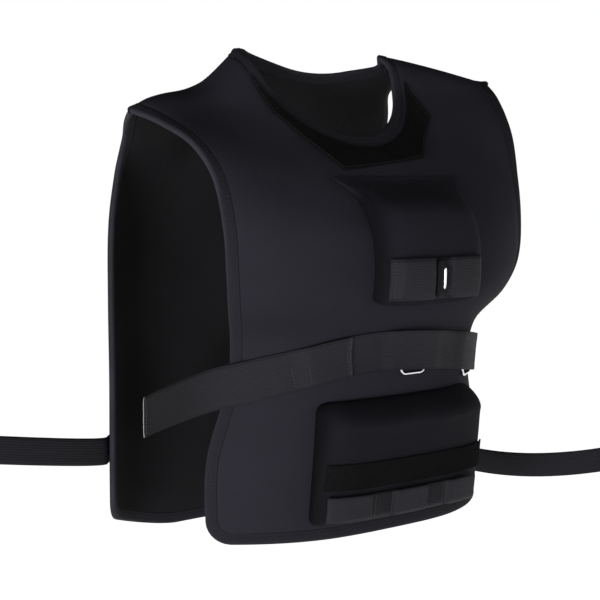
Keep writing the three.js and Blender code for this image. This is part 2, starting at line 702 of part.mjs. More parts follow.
// Stations along a curve from the end of a run of them towards a point, so that the strap leaves smoothly.
function freeEnd(stations, way, length, bend, sag, count, width, thick) {
  const end = stations.at(-1);
  const leave = end.middle.clone().sub(stations.at(-2).middle).setLength(bend);
  const to = end.middle.clone().addScaledVector(way, length);
  const start = end.inner.at(-1).clone().sub(end.inner[0]).normalize();
  const upright = new THREE.Vector3(0, 0, 1);
  const bendPoint = end.middle.clone().add(leave);
  bendPoint.z -= sag;
  const curve = new THREE.QuadraticBezierCurve3(end.middle, bendPoint, to);
  const side = Math.sign(leave.clone().cross(start).dot(end.out));
  return Array.from({ length: count }, (_, i) => {
    const s = (i + 1) / count;
    const up = start.clone().lerp(upright, s ** 0.5);
    const out = curve.getTangent(s).cross(up).multiplyScalar(side).normalize();
    return stationAt({ middle: curve.getPoint(s), out, up }, width, thick);
  });
}

const waistHalf = (across) => halfWidth(frontShape, across, shareAt(frontShape, 0, -beltDrop));
const ringEdgeSide = waistHalf(1) - ringEdgeInset;

// The room that a ring takes under the belt at x.
function ringRoom(x) {
  const away = Math.min(Math.abs(x - ringFrontSide), Math.abs(x - ringEdgeSide)) - ringWidth / 2;
  return (ringWire + 1.5 * rest) * (1 - THREE.MathUtils.smoothstep(away, ringClear, ringFade));
}

function beltStation(across, extra) {
  const half = waistHalf(across);
  const overTape = (tapeStep + gap) * THREE.MathUtils.smoothstep(Math.abs(across), 0.84, 0.92);
  const lift = rest + overTape + ringRoom(across * half) + extra;
  return stationOn(
    frontShape, frontFacets, beltRun, beltDrop, half, across, lift, wideWebbing, beltThick,
  );
}

const steps = (from, to, count) => Array.from({ length: count + 1 }, (_, i) => mix(from, to, i / count));

// The lower strap: turned in behind the front's left edge, round that edge and across the front.
function lowerBelt() {
  const edge = 0.985;
  const start = beltStation(edge, 0);
  const up = start.inner.at(-1).clone().sub(start.inner[0]).normalize();
  const away = up.clone().cross(start.out).normalize();
  const radius = wall / 2 + 2 * tapeStep + rest + gap + beltThick / 2 + ringRoom(edge * waistHalf(1));
  const hub = start.middle.clone().addScaledVector(start.out, -radius);
  const turned = [1, 0.75, 0.5, 0.25].map((s) => {
    const out = start.out.clone().multiplyScalar(Math.cos(s * Math.PI)).addScaledVector(away, Math.sin(s * Math.PI));
    return stationAt({ middle: hub.clone().addScaledVector(out, radius), out, up }, wideWebbing, beltThick);
  });
  const inside = stationAt({
    middle: turned[0].middle.clone().addScaledVector(away, -beltTuck).addScaledVector(start.out, -beltTuckLean),
    out: turned[0].out,
    up,
  }, wideWebbing, beltThick);
  return strap('belt_lower', [inside, ...turned, ...steps(edge, lowerStrapTo, 24).map((across) => beltStation(across, 0))]);
}

// The upper strap: held over the lower one, off the front's right edge and free past it.
function upperBelt() {
  const stations = steps(upperStrapFrom, -0.99, 10).map((across) => {
    const over = THREE.MathUtils.smoothstep(across, lowerStrapTo - 0.12, lowerStrapTo - 0.01);
    return beltStation(across, over * (beltThick + rest));
  });
  const free = freeEnd(stations, beltTailWay, beltTail, beltBend, 0, 7, wideWebbing, beltThick);
  return strap('belt_upper', [...stations, ...free]);
}

function wireRing(name, x) {
  const w = ringWidth / 2 - ringCorner;
  const h = ringLength / 2 - ringCorner;
  const drop = along(beltRun, 'drop', x / waistHalf(1)) * beltDrop + wideWebbing / 2 + ringPeek - ringLength / 2;
  const corners = [[1, 1], [-1, 1], [-1, -1], [1, -1]];
  const seats = corners.flatMap(([sideX, sideZ], k) => [0, 0.25, 0.5, 0.75, 1].map((s) => {
    const turn = ((k + s) * Math.PI) / 2;
    return frontSeat(
      x + sideX * w + ringCorner * Math.cos(turn),
      -drop + sideZ * h + ringCorner * Math.sin(turn),
      rest + ringWire / 2,
    );
  }));
  return wire(name, seats, ringWire, true);
}

// The back strap: sewn across the back, with a free tail past each edge.
function backStrap() {
  const half = halfWidth(backShape, 1, shareAt(backShape, 0, -backStrapDrop));
  const onBack = steps(-0.99, 0.99, 22).map((across) => stationOn(
    backShape, backFacets, backStrapRun, backStrapDrop, half, across, rest + tapeStep, narrowWebbing, webbingThick,
  ));
  const size = [narrowWebbing, webbingThick];
  const right = freeEnd([...onBack].reverse(), rightTailWay, rightTail, rightTailBend, 0, 6, ...size).reverse();
  const left = freeEnd(onBack, leftTailWay, leftTail, leftTailBend, tailSag, 9, ...size);
  return strap('back_strap', [...right, ...onBack, ...left]);
}

const group = new THREE.Group();
group.add(
  panel('front_panel', frontGrid),
  panel('back_panel', backGrid),
  edgeTape('front_edge_tape', outerPath(frontGrid), 1, false),
  edgeTape('back_edge_tape', outerPath(backGrid), -1, false),
  edgeTape('neck_tape', neckLoop(), -1, true, 2 * tapeGap),
  neckPatch().mesh,
  chestPad.mesh,
  chestWebbing,
  chestSlide.mesh,
  slidePin(),
  weightPouch.mesh,
  pileStrip.mesh,
  pouchWebbing,
  lowerBelt(),
  upperBelt(),
  wireRing('front_ring', ringFrontSide),
  wireRing('side_ring', ringEdgeSide),
  backStrap(),
);

export default group;
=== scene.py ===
"""A weighted vest: padded panels, bound edges, chest pad, weight pouch, webbing, belt and steel rings.

The wearer faces -Y, +X is the wearer's left, +Z is up, and the origin lies midway between the neck points.
Shapes are worked out in metres on grids of two parameters.
"""

import math

import bpy
import numpy as np
from bpy.props import FloatProperty, FloatVectorProperty, PointerProperty
from mathutils import Matrix, Vector


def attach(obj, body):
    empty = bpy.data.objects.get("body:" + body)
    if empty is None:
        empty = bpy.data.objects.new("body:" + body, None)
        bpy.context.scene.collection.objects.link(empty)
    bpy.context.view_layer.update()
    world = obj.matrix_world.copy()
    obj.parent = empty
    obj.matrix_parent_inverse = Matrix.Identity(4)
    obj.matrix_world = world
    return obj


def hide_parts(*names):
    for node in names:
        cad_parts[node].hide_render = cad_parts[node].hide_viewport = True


bl_info = {
    "name": "Weighted Vest",
    "version": (1, 0, 0),
    "blender": (4, 5, 0),
    "location": "View3D > Sidebar > Vest",
    "description": "Makes the cloth, padding, webbing and steel of a weighted vest",
    "category": "Object",
}

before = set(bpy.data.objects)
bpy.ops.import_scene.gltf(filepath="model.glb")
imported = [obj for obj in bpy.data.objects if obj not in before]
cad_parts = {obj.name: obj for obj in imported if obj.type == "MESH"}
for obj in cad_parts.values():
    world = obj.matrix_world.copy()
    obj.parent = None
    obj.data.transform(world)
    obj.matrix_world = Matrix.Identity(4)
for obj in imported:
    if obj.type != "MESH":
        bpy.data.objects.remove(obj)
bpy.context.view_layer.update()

# Sizes in metres
VEST_DROP = 0.447
CHEST_HALF = 0.196
WALL = 0.006
EDGE_BAND = 0.009
TAPE_STEP = 0.0007
HEM_CORNER = 0.020
NECK_HALF = 0.092
MIDDLE_X = 0.008
REST = 0.0008
GAP = 0.00035
WIDE = 0.038
NARROW = 0.026
BELT_DROP = 0.279
BACK_STRAP_DROP = 0.388
STRAIGHT_BELOW = 0.5
HEM_RUN = 1.5

# Each row is at, x, y, z: the height on the panel, then shares of CHEST_HALF, the depth and VEST_DROP
FRONT = {
    "depth": -0.147,
    "wrap": 3.0,
    "neck": 0.797,
    "lean": 0.0,
    "mid": np.array([
        [0, 0, 0.81, 1.005], [0.14, 0, 0.805, 0.843], [0.25, 0, 0.8, 0.724], [0.285, 0, 0.803, 0.685],
        [0.37, 0, 0.837, 0.587], [0.43, 0, 0.965, 0.519], [0.49, 0, 1, 0.452], [0.575, 0, 0.952, 0.362],
        [0.705, 0, 0.68, 0.2485], [0.797, 0, 0.449, 0.175], [0.9, 0, 0.23, 0.086],
        [0.955, 0, 0.125, 0.022], [1, 0, 0, -0.006],
    ]),
    "right": np.array([
        [0, 0.945, 0.4, 1], [0.14, 0.94, 0.39, 0.843], [0.25, 0.872, 0.435, 0.724],
        [0.285, 0.845, 0.456, 0.685], [0.37, 0.852, 0.49, 0.587], [0.43, 0.935, 0.61, 0.519],
        [0.49, 0.98, 0.675, 0.452], [0.575, 1, 0.687, 0.362], [0.705, 1.01, 0.62, 0.263],
        [0.797, 1.046, 0.49, 0.2], [0.9, 1.09, 0.265, 0.16], [1, 1.122, 0, 0.135],
    ]),
    "left": np.array([
        [0, 0.878, 0.408, 1], [0.14, 0.888, 0.388, 0.843], [0.25, 0.805, 0.435, 0.724],
        [0.285, 0.775, 0.456, 0.685], [0.37, 0.81, 0.49, 0.587], [0.43, 0.93, 0.61, 0.519],
        [0.49, 0.985, 0.68, 0.452], [0.575, 1, 0.69, 0.362], [0.705, 1.03, 0.62, 0.253],
        [0.797, 1.085, 0.49, 0.162], [0.9, 1.155, 0.25, 0.086], [1, 1.21, 0, 0.049],
    ]),
}
BACK = {
    "depth": 0.118,
    "wrap": 5.0,
    "neck": 0.912,
    "lean": 0.018,
    "mid": np.array([
        [0, 0, 0.983, 1.055], [0.15, 0, 0.983, 0.88], [0.3, 0, 1, 0.7], [0.45, 0, 1, 0.53],
        [0.6, 0, 0.985, 0.37], [0.72, 0, 0.84, 0.24], [0.82, 0, 0.45, 0.12], [0.9, 0, 0.11, 0.044],
        [0.955, 0, 0.04, 0.014], [1, 0, 0, -0.006],
    ]),
    "right": np.array([
        [0, 1, 0.54, 0.985], [0.15, 1, 0.54, 0.85], [0.3, 1, 0.53, 0.69], [0.45, 1.003, 0.53, 0.53],
        [0.6, 0.99, 0.55, 0.37], [0.72, 0.95, 0.57, 0.26], [0.82, 0.94, 0.52, 0.19],
        [0.9, 1.02, 0.33, 0.157], [1, 1.122, 0, 0.135],
    ]),
    "left": np.array([
        [0, 1, 0.54, 0.985], [0.15, 1, 0.54, 0.85], [0.3, 1, 0.53, 0.69], [0.45, 1.003, 0.53, 0.53],
        [0.6, 0.96, 0.57, 0.37], [0.72, 0.9, 0.62, 0.24], [0.82, 0.875, 0.6, 0.13],
        [0.9, 0.76, 0.44, 0.066], [0.95, 0.77, 0.2, 0.043], [1, 1.21, 0, 0.049],
    ]),
}
# The shoulder's run from beside the neck to its tip: share of the way, share of the fall
SHOULDER_RUN = {
    "right": np.array([[0, 0], [0.1, 0.16], [0.25, 0.41], [0.35, 0.545], [0.5, 0.66], [0.72, 0.745],
                       [0.87, 0.84], [1, 1]]),
    "left": np.array([[0, 0], [0.02, 0.004], [0.1, 0.05], [0.25, 0.165], [0.5, 0.406], [0.75, 0.688],
                      [1, 1]]),
}
SEAM_FORWARD = {"right": 0.0, "left": 0.020}

# The belt's and the back strap's middle: share of the half-width, share of the drop
BELT_RUN = np.array([[-1, 1.086], [-0.8, 1.056], [-0.4, 1.008], [0, 1], [0.6, 1.03], [1, 1.062]])
BACK_RUN = np.array([[-1, 0.974], [0, 1], [1, 1.026]])
LOWER_FROM = 0.985
LOWER_TO = -0.6
UPPER_FROM = -0.385
STRAP_REACH = 0.99

# How many steps a panel has across each shoulder strap, round the neck and from hem to shoulder
STRAP_STEPS = 26
NECK_STEPS = 60
PANEL_ROWS = 110

# How much the panel thins down at its sewn edge, and the height of the folds on its inside
EDGE_SINK = 0.42
INSIDE_FOLDS = 0.0004

# Edge tape: how far it laps the cloth, where it starts past the cloth's edge, its skin and its seam
LAP_REACH = 0.0022
LAP_BEND = 0.0012
EDGE_START = 0.0006
NECK_START = 0.0012
TAPE_SKIN = 0.0006
SEAM_INSET = 0.0012
STITCH_RISE = 0.0001

# Neck patch
PATCH_TOP_HALF = 0.104
PATCH_TOP_DROP = 0.058
PATCH_LOW_HALF = 0.061
PATCH_LOW_DROP = 0.112
PATCH_RISE = 0.012
PATCH_NARROW = 0.007
PATCH_MARGIN = 0.003
PATCH_THICK = 0.0016
PATCH_EDGE_SINK = 0.0006
TUFT_SIZE = 0.004
TUFT_HEIGHT = 0.0002

# Chest pad
PAD_HALF = 0.066
PAD_TOP_DROP = 0.118
PAD_LENGTH = 0.113
PAD_THICK = 0.023
PAD_RIM = 0.003
PAD_UNDER = 0.00115
PAD_FLARE = 0.020
PAD_DRAWN = 0.2
PAD_CORNER = 0.008

# How dark the painted shade in the creases round the pad and the pouch is, and how wide
RIM_SHADE = 0.95
PAD_CREASE = 0.008
POUCH_CREASE = 0.007

# Cloth: its blotches and creases, the lining's holes, and the ribs of the tape and the webbing
MOTTLE = 0.22
CREASE = 1.4
HOLE_PITCH = 0.0026
TAPE_RIB = 0.0013
WEBBING_RIB = 0.0023
WEBBING_SLANT = 0.0011

# Pouch
POUCH_TOP_DROP = 0.322
POUCH_LENGTH = 0.112
POUCH_HALF = 0.103
POUCH_FLARE = 0.010
POUCH_THICK = 0.031
POUCH_RIM = 0.004
POUCH_CORNER = 0.009
STRIP_DROP = 0.388
STRIP_WIDTH = 0.024
STRIP_REACH = 0.985
BAND_DROP = 0.417
BAND_WIDTH = 0.024
BAND_AT = (BAND_DROP - POUCH_TOP_DROP) / POUCH_LENGTH
POUCH_LOOP = 0.044
POUCH_LOOP_GAP = 0.024
POUCH_LOOP_INSET = 0.006
LOOP_TACK = 0.007

# Webbing, slide, pin, belt, rings and tails. A tail's way and bend are from its start, its sag is a drop
# How dark the painted shade on the webbing between loops is
LOOP_SHADE = 0.75
TACK_BESIDE = 0.0018
TACK_PITCH = 0.0030
WEBBING_THICK = 0.002
LOOP_RISE = 0.0038
CHEST_LOOP = 0.041
CHEST_LOOP_GAP = 0.020
CHEST_BAND_DROP = 0.209
CHEST_LOOP_SHIFT = 0.0065
CHEST_TACK = 0.005
CHEST_START = MIDDLE_X - CHEST_LOOP_SHIFT - CHEST_LOOP_GAP / 2 - CHEST_LOOP
SLIDE_WIDTH = 0.007
SLIDE_LENGTH = 0.036
PIN_WIRE = 0.003
PIN_LENGTH = 0.021
BELT_THICK = 0.0024
# Length of the painted highlight at the belt's cut end
CUT_EDGE = 0.0016
# Strength, start and end of the painted shade along the belt's free tail
TAIL_SHADE = 0.95
TAIL_SHADE_FROM = 0.09
TAIL_SHADE_TO = 0.19
RING_WIDTH = 0.032
RING_LENGTH = 0.034
RING_CORNER = 0.006
RING_WIRE = 0.003
RING_PEEK = 0.004
RING_FRONT_X = 0.018
RING_EDGE_INSET = 0.030
RING_CLEAR = 0.010
RING_FADE = 0.030
BELT_TAIL = {"way": (-0.22, 0.91, -0.35), "length": 0.110, "bend": 0.034, "sag": 0.0}
BELT_TUCK = 0.026
TUCK_LEAN = 0.002
TAIL_STITCH = 0.006
RIGHT_TAIL = {"way": (-0.98, -0.06, 0.13), "length": 0.138, "bend": 0.026, "sag": 0.0}
LEFT_TAIL = {"way": (0.46, -0.86, -0.09), "length": 0.240, "bend": 0.090, "sag": 0.055}

# Camera and stage
CAMERA_AZIMUTH = math.radians(-42)
CAMERA_PITCH = math.radians(4.75)
CAMERA_DISTANCE = 1.57
CAMERA_RIGHT = 0.00656
CAMERA_UP = 0.1525
LENS = 96
SENSOR = 36
VEST_MIDDLE = 0.24
FLOOR_DROP = -1.05
FLOOR_GLOW = 0.95
FLOOR_INNER = 0.4
FLOOR_RADIUS = 24

# Each light: how far it is before the vest, to the right of it in the picture and above it, size, power
LIGHTS = (
    ("Key", (2.15, -0.95, -0.5), 0.8, 42),
    ("Front", (2.4, 0.6, -0.1), 1.4, 4),
    ("Right side", (0.3, 2.0, 0.1), 1.2, 2),
)

# The sky by its height squared: white about the horizon, dark grey from there up and down
SKY_STOPS = ((0.012, (1, 1, 1, 1)), (0.10, (0.03, 0.03, 0.03, 1)))


def along(rows, column, at):
    """A smooth curve through a table's rows: a cubic between each two, with the slope of their neighbours."""
    at = np.asarray(at, float)
    knots = rows[:, 0]
    values = rows[:, column]
    last = len(knots) - 1
    before = np.maximum(np.arange(last + 1) - 1, 0)
    after = np.minimum(np.arange(last + 1) + 1, last)
    slopes = (values[after] - values[before]) / (knots[after] - knots[before])
    i = np.clip(np.searchsorted(knots, at, side="right") - 1, 0, last - 1)
    span = knots[i + 1] - knots[i]
    s = (at - knots[i]) / span
    s2 = s * s
    s3 = s2 * s
    return ((2 * s3 - 3 * s2 + 1) * values[i] + (s3 - 2 * s2 + s) * span * slopes[i]
            + (3 * s2 - 2 * s3) * values[i + 1] + (s3 - s2) * span * slopes[i + 1])


def by_side(shape, across, column, at):
    """A column of the right or the left table, by the sign of across."""
    return np.where(across < 0, along(shape["right"], column, at), along(shape["left"], column, at))


def half_width(shape, across, at):
    """The panel's half-width at a height, on the side that across is on."""
    return by_side(shape, across, 1, at) * CHEST_HALF


def on_panel(shape, across, at):
    """The middle of the wall: depth blends from the middle row to the side's by a power of across."""
    across, at = np.broadcast_arrays(np.asarray(across, float), np.asarray(at, float))
    share = np.abs(across)
    neck = NECK_HALF / half_width(shape, across, 1.0)
    past = np.maximum(0, (share - neck) / (1 - neck))
    high = np.minimum(1, at / STRAIGHT_BELOW)
    hem = past ** HEM_RUN
    down = hem + (by_side(SHOULDER_RUN, across, 1, past) - hem) * high
    forward = np.where(across < 0, SEAM_FORWARD["right"], SEAM_FORWARD["left"]) * down * at ** 8
    mid_y = along(shape["mid"], 2, at)
    mid_z = along(shape["mid"], 3, at)
    y = (mid_y + (by_side(shape, across, 2, at) - mid_y) * share ** shape["wrap"]) * shape["depth"] - forward
    z = -(mid_z + (by_side(shape, across, 3, at) - mid_z) * down) * VEST_DROP
    return np.stack([across * half_width(shape, across, at), y, z], -1)


def unit(v):
    """Vectors at length one."""
    return v / np.maximum(np.linalg.norm(v, axis=-1, keepdims=True), 1e-12)


def outward(shape, across, at):
    """The way the panel faces: the cross product of its slopes across and up."""
    step = 0.002
    u = on_panel(shape, across + step, at) - on_panel(shape, across - step, at)
    v = on_panel(shape, across, np.minimum(at + step, 1)) - on_panel(shape, across, np.maximum(at - step, 0))
    n = unit(np.cross(u, v))
    return n if shape["depth"] < 0 else -n


def share_at(shape, x, z):
    """The height on the panel at which it reaches z, found by halving."""
    low = np.zeros(np.broadcast(x, z).shape)
    high = np.ones_like(low)
    for _ in range(22):
        at = (low + high) / 2
        below = on_panel(shape, x / half_width(shape, x, at), at)[..., 2] < z
        low = np.where(below, at, low)
        high = np.where(below, high, at)
    return (low + high) / 2


def stand(shape, x, z, height):
    """Points that stand off the panel's outer face by height(x, z), seen from the front at x and z."""
    x, z = np.broadcast_arrays(np.asarray(x, float), np.asarray(z, float))
    foot_x, foot_z = x.copy(), z.copy()
    for _ in range(6):
        at = share_at(shape, foot_x, foot_z)
        across = foot_x / half_width(shape, foot_x, at)
        out = outward(shape, across, at)
        lift = WALL / 2 + (height(foot_x, foot_z) if callable(height) else height)
        point = on_panel(shape, across, at) + out * np.asarray(lift)[..., None]
        foot_x = foot_x + (x - point[..., 0])
        foot_z = foot_z + (z - point[..., 2])
    return point, out


def smooth(value, low, high):
    """0 below low, 1 above high and an even bend between."""
    s = np.clip((value - low) / (high - low), 0, 1)
    return s * s * (3 - 2 * s)


def ripple(points, size, seed):
    """Soft folds without a direction: a sum of waves of unlike size and heading."""
    rng = np.random.default_rng(seed)
    total = np.zeros(points.shape[:-1])
    for k in range(7):
        heading = unit(rng.normal(size=3))
        wave = 2 * math.pi / (size * (0.7 + 0.22 * k))
        total += np.sin(points @ heading * wave + rng.uniform(0, 6.28)) / 7
    return total


def arc(grid, axis):
    """Distance along a grid's rows or columns from its first point."""
    steps = np.linalg.norm(np.diff(grid, axis=axis), axis=-1)
    pad = [(0, 0)] * steps.ndim
    pad[axis] = (1, 0)
    return np.cumsum(np.pad(steps, pad), axis=axis)


def quads(rows, cols, ring_rows=False, ring_cols=False):
    """Index of each four-sided face of a grid of points, joined round where asked."""
    i = np.arange(rows if ring_rows else rows - 1)
    j = np.arange(cols if ring_cols else cols - 1)
    i, j = np.meshgrid(i, j, indexing="ij")
    next_i, next_j = (i + 1) % rows, (j + 1) % cols
    faces = np.stack([i * cols + j, i * cols + next_j, next_i * cols + next_j, next_i * cols + j], -1)
    return faces.reshape(-1, 4)


def add_piece(name, points, faces, uv, materials, replaced=(), marks=None, attribute=None):
    """Makes one mesh from arrays. Its faces are turned outwards if its volume comes out negative."""
    a, b, c = points[faces[:, 0]], points[faces[:, 1]], points[faces[:, 2]]
    d = points[faces[:, 3]]
    volume = (a * np.cross(b, c)).sum() + (a * np.cross(c, d)).sum()
    if volume < 0:
        faces = faces[:, ::-1]
    corners = [f[:3] if f[2] == f[3] else (f[1:] if f[0] == f[1] else f) for f in faces.tolist()]
    data = bpy.data.meshes.new(name)
    data.from_pydata(points.tolist(), [], corners)
    for finish in materials:
        data.materials.append(finish)
    if marks is not None:
        data.polygons.foreach_set("material_index", marks.astype(np.int32))
    layer = data.uv_layers.new(name="Flat")
    loops = np.empty(len(data.loops), np.int32)
    data.loops.foreach_get("vertex_index", loops)
    layer.data.foreach_set("uv", uv[loops].astype(np.float32).ravel())
    # A number on each point for the materials: painted shade where it is negative, painted highlight where it
    # is positive
    if attribute is not None:
        wear = data.attributes.new("wear", "FLOAT", "POINT")
        wear.data.foreach_set("value", attribute.astype(np.float32))
    data.polygons.foreach_set("use_smooth", np.ones(len(data.polygons), bool))
    data.validate()
    data.update()
    piece = bpy.data.objects.new(name, data)
    bpy.context.scene.collection.objects.link(piece)
    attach(piece, "root")
    if replaced:
        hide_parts(*replaced)
    return piece


def slab_faces(rows, cols):
    """Faces of a closed slab: an outer and an inner grid, and a strip along each of the four sides."""
    outer = quads(rows, cols)
    inner = outer[:, ::-1] + rows * cols
    size = rows * cols
    j = np.arange(cols - 1)
    i = np.arange(rows - 1)
    low = np.stack([j + size, j + 1 + size, j + 1, j], -1)
    top = (rows - 1) * cols
    high = np.stack([top + j, top + j + 1, top + j + 1 + size, top + j + size], -1)
    near = np.stack([i * cols, (i + 1) * cols, (i + 1) * cols + size, i * cols + size], -1)
    far_i = i * cols + cols - 1
    far = np.stack([far_i + size, far_i + cols + size, far_i + cols, far_i], -1)
    return outer, inner, np.concatenate([low, high, near, far])


def add_slab(name, outer, inner, materials, replaced=(), attribute=None):
    """A closed slab between two grids. The outer face takes the first material and the rest the last."""
    rows, cols = outer.shape[:2]
    outer_faces, inner_faces, rim = slab_faces(rows, cols)
    faces = np.concatenate([outer_faces, inner_faces, rim])
    points = np.concatenate([outer.reshape(-1, 3), inner.reshape(-1, 3)])
    uv = np.stack([arc(outer, 1), arc(outer, 0)], -1).reshape(-1, 2)
    last = len(materials) - 1
    marks = np.concatenate([np.zeros(len(outer_faces)), np.full(len(inner_faces) + len(rim), last)])
    wear = None if attribute is None else np.tile(attribute.ravel(), 2)
    return add_piece(name, points, faces, np.tile(uv, (2, 1)), materials, replaced, marks, wear)


def add_tube(name, sections, materials, replaced=(), ring=False, attribute=None):
    """A skin over a row of closed sections (rows, around, 3), capped at its ends or joined into a ring."""
    rows, around = sections.shape[:2]
    faces = quads(rows, around, ring_rows=ring, ring_cols=True)
    points = sections.reshape(-1, 3)
    uv = np.stack([arc(sections, 1), arc(sections, 0)], -1).reshape(-1, 2)
    wear = None if attribute is None else attribute.ravel()
    if not ring:
        caps = sections[[0, -1]].mean(axis=1)
        first, last = len(points), len(points) + 1
        points = np.concatenate([points, caps])
        uv = np.concatenate([uv, uv[:2]])
        if wear is not None:
            wear = np.concatenate([wear, wear[:2]])
        k = np.arange(around)
        after = (k + 1) % around
        end = (rows - 1) * around
        start_cap = np.stack([np.full(around, first), after, k, k], -1)
        end_cap = np.stack([np.full(around, last), end + k, end + after, end + after], -1)
        faces = np.concatenate([faces, start_cap, end_cap])
    return add_piece(name, points, faces, uv, materials, replaced, attribute=wear)


def panel_grid(shape, columns, neck_columns, rows, hem_rows=8):
    """The panel's middle surface and its directions.

    Columns run up each shoulder strap and between them to the neckline, which dips as a half circle.
    Rows start level with the hem, whose corners are rounded, and follow the neckline above the middle.
    """
    hem = float(share_at(shape, 0.0, on_panel(shape, 0.0, 0.0)[2] + EDGE_BAND))
    corner = HEM_CORNER - EDGE_BAND
    start = hem + corner / VEST_DROP
    low = hem + np.linspace(0, 1, hem_rows) ** 1.6 * (start - hem)
    high = 1 - (1 - start) * (1 - np.linspace(0, 1, rows)) ** 1.25
    share = np.concatenate([low, high[1:]])[:, None]
    strap = np.linspace(0, 1, columns + 1)
    turn = (np.linspace(0, 1, neck_columns + 1)[1:-1] - 0.5) * math.pi
    side = np.concatenate([-np.ones(columns + 1), np.zeros(len(turn)), np.ones(columns + 1)])[None]
    away = np.concatenate([strap[::-1], np.zeros(len(turn)), strap])[None]
    turn = np.concatenate([np.zeros(columns + 1), turn, np.zeros(columns + 1)])[None]
    lift = np.maximum(0, (share - STRAIGHT_BELOW) / (1 - STRAIGHT_BELOW))
    deep = 1 - shape["neck"] + EDGE_BAND / VEST_DROP
    at = np.where(side != 0, share, share - lift * deep * np.cos(turn))
    rise = np.clip(corner - (at - hem) * VEST_DROP, 0, corner)
    cut = corner - np.sqrt(corner ** 2 - rise ** 2)
    inner = NECK_HALF + EDGE_BAND
    edge = half_width(shape, side + 0 * at, at) - EDGE_BAND - cut
    strap_x = side * (inner + (edge - inner) * away)
    neck_x = inner * np.sin(turn) + shape["lean"] * lift * np.cos(turn)
    x = np.where(side != 0, strap_x, neck_x)
    across = x / half_width(shape, x, at)
    middle = on_panel(shape, across, at)
    out = outward(shape, across, at)
    seam = side[0] != 0
    out[-1, seam, 1] = 0
    out[-1] = unit(out[-1])
    middle[-1, seam, 1] += math.copysign(GAP, shape["depth"])
    return middle, out


def outer_path(grid):
    """Down one side of a grid, along the hem and up the other."""
    return np.concatenate([grid[::-1, 0], grid[0, 1:-1], grid[:, -1]])


class Socket:
    """A number that changes over a surface. Operators on it add Math nodes."""

    def __init__(self, shader, link):
        self.shader = shader
        self.link = link

    def join(self, operation, first, second):
        """A Math node on two values, of which one is this socket."""
        return self.shader.add("ShaderNodeMath", {"operation": operation}, {0: first, 1: second})["Value"]

    def __add__(self, other):
        return self.join("ADD", self, other)

    def __radd__(self, other):
        return self.join("ADD", other, self)

    def __sub__(self, other):
        return self.join("SUBTRACT", self, other)

    def __rsub__(self, other):
        return self.join("SUBTRACT", other, self)

    def __mul__(self, other):
        return self.join("MULTIPLY", self, other)

    def __rmul__(self, other):
        return self.join("MULTIPLY", other, self)

    def __pow__(self, other):
        return self.join("POWER", self, other)

    def __rpow__(self, other):
        return self.join("POWER", other, self)

    def sine(self):
        """The sine of the number, in radians."""
        return self.shader.add("ShaderNodeMath", {"operation": "SINE"}, {0: self})["Value"]


class Shader:
    """The nodes of a material or of the world."""

    def __init__(self, owner, surface="Principled BSDF"):
        owner.use_nodes = True
        self.owner = owner
        self.tree = owner.node_tree
        self.surface = self.tree.nodes[surface]

    def put(self, socket, value):
        """Gives a node's socket a link, a colour or a number."""
        if isinstance(value, Socket):
            self.tree.links.new(value.link, socket)
        elif hasattr(socket.default_value, "__len__") and hasattr(value, "__len__"):
            socket.default_value = tuple(value)[: len(socket.default_value)]
        else:
            socket.default_value = value

    def add(self, kind, settings=None, values=None):
        """Adds a node of a kind, sets its settings and then its sockets, and returns its outputs by name."""
        node = self.tree.nodes.new(kind)
        for key, value in (settings or {}).items():
            if key == "stops":
                node.color_ramp.elements[0].position, node.color_ramp.elements[0].color = value[0]
                node.color_ramp.elements[1].position, node.color_ramp.elements[1].color = value[1]
            else:
                setattr(node, key, value)
        for key, value in (values or {}).items():
            self.put(node.inputs[key], value)
        found = {index: Socket(self, output) for index, output in enumerate(node.outputs)}
        found.update({output.name: Socket(self, output) for output in node.outputs if output.enabled})
        return found

    def noise(self, where, scale, detail=2.0, roughness=0.5):
        """Soft noise from about 0.25 to 0.75."""
        return self.add("ShaderNodeTexNoise", {}, {
            "Vector": where, "Scale": scale, "Detail": detail, "Roughness": roughness})["Fac"]

    def blend(self, share, first, second):
        """A colour between two, by a share."""
        settings = {"data_type": "RGBA", "blend_type": "MIX"}
        return self.add("ShaderNodeMix", settings, {0: share, 6: first, 7: second})[2]

    def attribute(self, name):
        """A number kept on the mesh, 0 where the mesh has none."""
        return self.add("ShaderNodeAttribute", {"attribute_name": name})["Fac"]

    def finish(self, colour, roughness, height=None, distance=0.0002, strength=1.0, **fixed):
        """Links colour, roughness and the bump, and sets the values that are the same all over."""
        self.put(self.surface.inputs["Base Color"], colour)
        self.put(self.surface.inputs["Roughness"], roughness)
        if height is not None:
            values = {"Height": height, "Distance": distance, "Strength": strength}
            self.put(self.surface.inputs["Normal"], self.add("ShaderNodeBump", {}, values)["Normal"])
        for name, value in fixed.items():
            self.surface.inputs[name.replace("_", " ")].default_value = value
        return self.owner


def rgb(colour, share=1.0):
    """A colour at a share of its brightness, with full alpha."""
    return tuple(c * share for c in colour[:3]) + (1.0,)


def flat_axes(shader):
    """The two distances of the piece's own flat map, in metres."""
    flat = shader.add("ShaderNodeUVMap", {"uv_map": "Flat"})["UV"]
    parts = shader.add("ShaderNodeSeparateXYZ", {}, {"Vector": flat})
    return parts["X"], parts["Y"]


def place(shader):
    """The point on the object, in metres."""
    return shader.add("ShaderNodeTexCoord")["Object"]


def new_shader(name):
    """The shader of a new material."""
    return Shader(bpy.data.materials.new(name))


